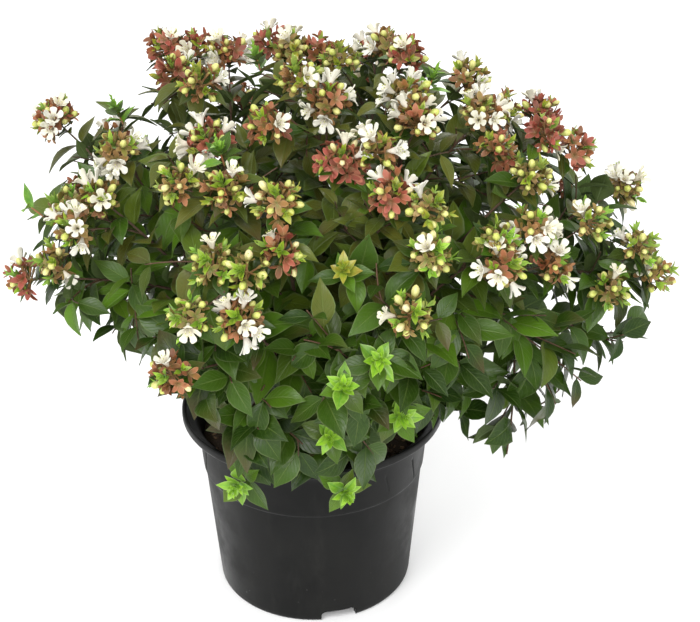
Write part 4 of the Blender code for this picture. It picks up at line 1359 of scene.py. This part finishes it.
def build_pot():
    rows = pot_profile()
    turns = [radians(turn) for turn in pot_turns()]
    count = len(turns)
    points = []
    for radius, height in rows:
        collar = radius > wall_radius(height) and 0.1 < height < 0.1305
        for turn in turns:
            out = radius + relief(degrees(turn), height) if collar else radius
            points.append((*on_circle(out, turn), height))
    last = (len(rows) - 1) * count
    faces = [*ring_faces(len(rows), count), tuple(range(count))[::-1], tuple(range(last, last + count))]
    mesh = bpy.data.meshes.new("pot")
    mesh.from_pydata(points, [], faces)
    mesh.polygons.foreach_set("use_smooth", [True] * len(mesh.polygons))
    pot = add_piece("pot", mesh, POT_PAINT, ("nursery_pot",))
    cutter = drain_cutter()
    cut = pot.modifiers.new("drains", "BOOLEAN")
    cut.operation = "DIFFERENCE"
    cut.object = cutter
    cut.solver = "EXACT"
    bpy.context.view_layer.update()
    made = bpy.data.meshes.new_from_object(pot.evaluated_get(bpy.context.evaluated_depsgraph_get()))
    pot.modifiers.clear()
    pot.data = made
    made.set_sharp_from_angle(angle=radians(32))
    bpy.data.objects.remove(cutter)


def drain_cutter():
    """Blocks with round upper corners, one for each drain slot."""
    outline = [(-DRAIN_HALF_WIDTH, -0.004), (DRAIN_HALF_WIDTH, -0.004)]
    for side, start in ((1, 0), (-1, pi / 2)):
        for a in np.linspace(start, start + pi / 2, 6):
            x = side * (DRAIN_HALF_WIDTH - DRAIN_CORNER) + DRAIN_CORNER * cos(a)
            outline.append((x, DRAIN_TOP - DRAIN_CORNER + DRAIN_CORNER * sin(a)))
    size = len(outline)
    ends = [tuple(range(size))[::-1], tuple(range(size, 2 * size))]
    points = []
    faces = []
    for azimuth in DRAINS:
        outward = polar(azimuth, 1, 0)
        across = vec(-outward[1], outward[0], 0)
        faces += [tuple(len(points) + i for i in face) for face in ends + ring_faces(2, size)]
        for reach in DRAIN_REACH:
            points += [tuple(outward * reach + across * x + UP * z) for x, z in outline]
    mesh = bpy.data.meshes.new("cutter")
    mesh.from_pydata(points, [], faces)
    return link_new("cutter", mesh)


SOIL_BOTTOM = 0.1
SOIL_RINGS = 46
SOIL_AROUND = 120
SOIL_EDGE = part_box("potting_soil")[1][0] - 0.0001
SOIL_RADII = (0, 0.018, 0.048, 0.074, SOIL_EDGE)
SOIL_HEIGHTS = (SOIL_CROWN, SOIL_CROWN, SOIL_CROWN - 0.001, 0.1232, 0.1208)
CHIPS = 520
CHIP_SIZE = (0.0022, 0.0012, 0.0006)  # half of the largest bit's length, width and height
CHIP_FACES = ((0, 3, 2, 1), (4, 5, 6, 7), (0, 1, 5, 4), (1, 2, 6, 5), (2, 3, 7, 6), (3, 0, 4, 7))
CHIP_CORNERS = np.array([(x, y, z) for z in (-1.0, 1.0) for x, y in ((-1, -1), (1, -1), (1, 1), (-1, 1))])
CHIP_SHAPE = Shape(CHIP_FACES, [((0.1, 0.1), (0.9, 0.1), (0.9, 0.9), (0.1, 0.9))] * 6, [(0, 0.5, 1)] * 8)


def soil_level(radius, x, y):
    rough = noise.fractal(Vector((x * 70, y * 70, 0.3)), 0.8, 2.1, 5) * 0.0014
    flat = np.interp(radius, SOIL_RADII, SOIL_HEIGHTS)
    return flat + rough * min(1.0, (SOIL_EDGE - radius) / 0.004) - 0.0006


def build_compost():
    """A rough peat surface with bits of bark and fibre in it, closed below."""
    chance = Chance(SEED + 2)
    points = []
    for ring in range(1, SOIL_RINGS + 1):
        radius = SOIL_EDGE * ring / SOIL_RINGS
        for k in range(SOIL_AROUND):
            x, y = on_circle(radius, FULL_TURN * k / SOIL_AROUND)
            points.append((x, y, soil_level(radius, x, y)))
    points += [(x * 0.985, y * 0.985, SOIL_BOTTOM) for x, y, _ in points[-SOIL_AROUND:]]
    top = len(points)
    points += [(0, 0, soil_level(0, 0, 0)), (0, 0, SOIL_BOTTOM)]
    faces = [(a, d, c, b) for a, b, c, d in ring_faces(SOIL_RINGS + 1, SOIL_AROUND)]
    last = SOIL_RINGS * SOIL_AROUND
    for k in range(SOIL_AROUND):
        after = (k + 1) % SOIL_AROUND
        faces += [(top, k, after), (top + 1, last + after, last + k)]
    spots = [(0.5 + 0.49 * x / SOIL_EDGE, 0.5 + 0.49 * y / SOIL_EDGE) for x, y, _ in points]
    cells = [[spots[point] for point in face] for face in faces]
    batch = Batch()
    batch.add(Shape(faces, cells, [(0, 0.5, 1)] * len(points)), np.array(points), (0.3, 0.0, 0.0))
    for _ in range(CHIPS):
        radius = 0.016 + (SOIL_EDGE - 0.02) * sqrt(chance(0, 1))
        x, y = on_circle(radius, chance(0, FULL_TURN))
        size = chance(0.5, 1.0, 3) * CHIP_SIZE * chance(0.5, 1.3)
        own = CHIP_CORNERS * size * (1 + chance(-0.3, 0.3, (8, 3)))
        axes = basis(vec(*chance.normal(0, 1, 2), chance.normal(0, 0.25)), UP + chance.normal(0, 0.3, 3))
        own = place(own, vec(x, y, soil_level(radius, x, y) + 0.0003), axes)
        batch.add(CHIP_SHAPE, own, draws(chance, (0, 1), (0, 1), (0, 1)))
    batch.build("compost", COMPOST_PAINT, "compost", ("potting_soil",), 50)


OLD_LEAF_HEIGHT = 0.1275
OLD_LEAVES = ((258, 0.072), (266, 0.06), (236, 0.066), (318, 0.068), (120, 0.058), (165, 0.05))


def build_old_leaves():
    """A few yellowed leaves that lie on the compost."""
    chance = Chance(SEED + 3)
    batch = Batch()
    for azimuth, radius in OLD_LEAVES:
        along = vec(*chance.normal(0, 1, 2), 0.12)
        length = chance(0.02, 0.027)
        tone = (*draws(chance, (0.2, 0.8), (0.35, 0.9)), 0.5)
        add_blade(batch, LEAF, polar(azimuth, radius, OLD_LEAF_HEIGHT), along, UP, tone, length=length,
                  width=length * 0.5, fold=0.3, bend=chance(-0.2, 0.5), wave=0.05, thick=ORGAN_THICKNESS)
    batch.build("old_leaves", YOUNG_PAINT, "young_leaf")


build_bush(grow_bush())
build_pot()
build_compost()
build_old_leaves()

# ---------------------------------------------------------------- stage
FLOOR_HALF = 40
FLOOR_HEIGHT = -0.0004
LIGHTS = (  # name, place, diameter and power
    ("key", (-0.8, -1.5, 2.1), 1.1, 34),
    ("fill", (0.25, -1.7, 1.05), 1.0, 19),
    ("back", (0.3, 1.6, 1.8), 1.2, 16),
)
LIGHT_AIM = (0, 0, 0.2)
SKY_STRENGTH = 0.92
CAMERA_PITCH = 27.3  # degrees down
CAMERA_ROLL = -0.15
CAMERA_TARGET = (0.0272, 0, 0.2174)
CAMERA_DISTANCE = 0.987
LENS = 72
SENSOR_WIDTH = 36


def make_floor():
    far = FLOOR_HALF
    mesh = bpy.data.meshes.new("floor")
    corners = [(x, y, FLOOR_HEIGHT) for x, y in ((-far, -far), (far, -far), (far, far), (-far, far))]
    mesh.from_pydata(corners, [], [(0, 1, 2, 3)])
    mesh.materials.append(Paint("floor", Base_Color=(0.95, 0.95, 0.95, 1.0), Roughness=0.9).material)
    floor = link_new("floor", mesh)


def make_light():
    world = bpy.data.worlds.new("studio")
    bpy.context.scene.world = world
    world.use_nodes = True
    world.node_tree.nodes["Background"].inputs["Color"].default_value = (1, 1, 1, 1)
    world.node_tree.nodes["Background"].inputs["Strength"].default_value = SKY_STRENGTH
    for name, spot, size, power in LIGHTS:
        lamp = bpy.data.lights.new(name, "AREA")
        lamp.shape = "DISK"
        lamp.size = size
        lamp.energy = power
        thing = link_new(name, lamp)
        thing.location = spot
        thing.rotation_mode = "QUATERNION"
        thing.rotation_quaternion = (Vector(LIGHT_AIM) - Vector(spot)).to_track_quat("-Z", "Y")


def make_camera():
    lens = bpy.data.cameras.new("camera")
    lens.lens = LENS
    lens.sensor_width = SENSOR_WIDTH
    camera = link_new("camera", lens)
    camera.rotation_mode = "QUATERNION"
    pitch = radians(CAMERA_PITCH)
    back = Vector((0, -cos(pitch), sin(pitch)))
    turn = (-back).to_track_quat("-Z", "Y").to_matrix().to_4x4()
    turn = turn @ Matrix.Rotation(radians(CAMERA_ROLL), 4, "Z")
    camera.matrix_world = Matrix.Translation(Vector(CAMERA_TARGET) + back * CAMERA_DISTANCE) @ turn
    bpy.context.scene.camera = camera


make_floor()
make_light()
make_camera()
bpy.context.scene.view_settings.view_transform = "Standard"
bpy.context.scene.view_settings.look = "None"
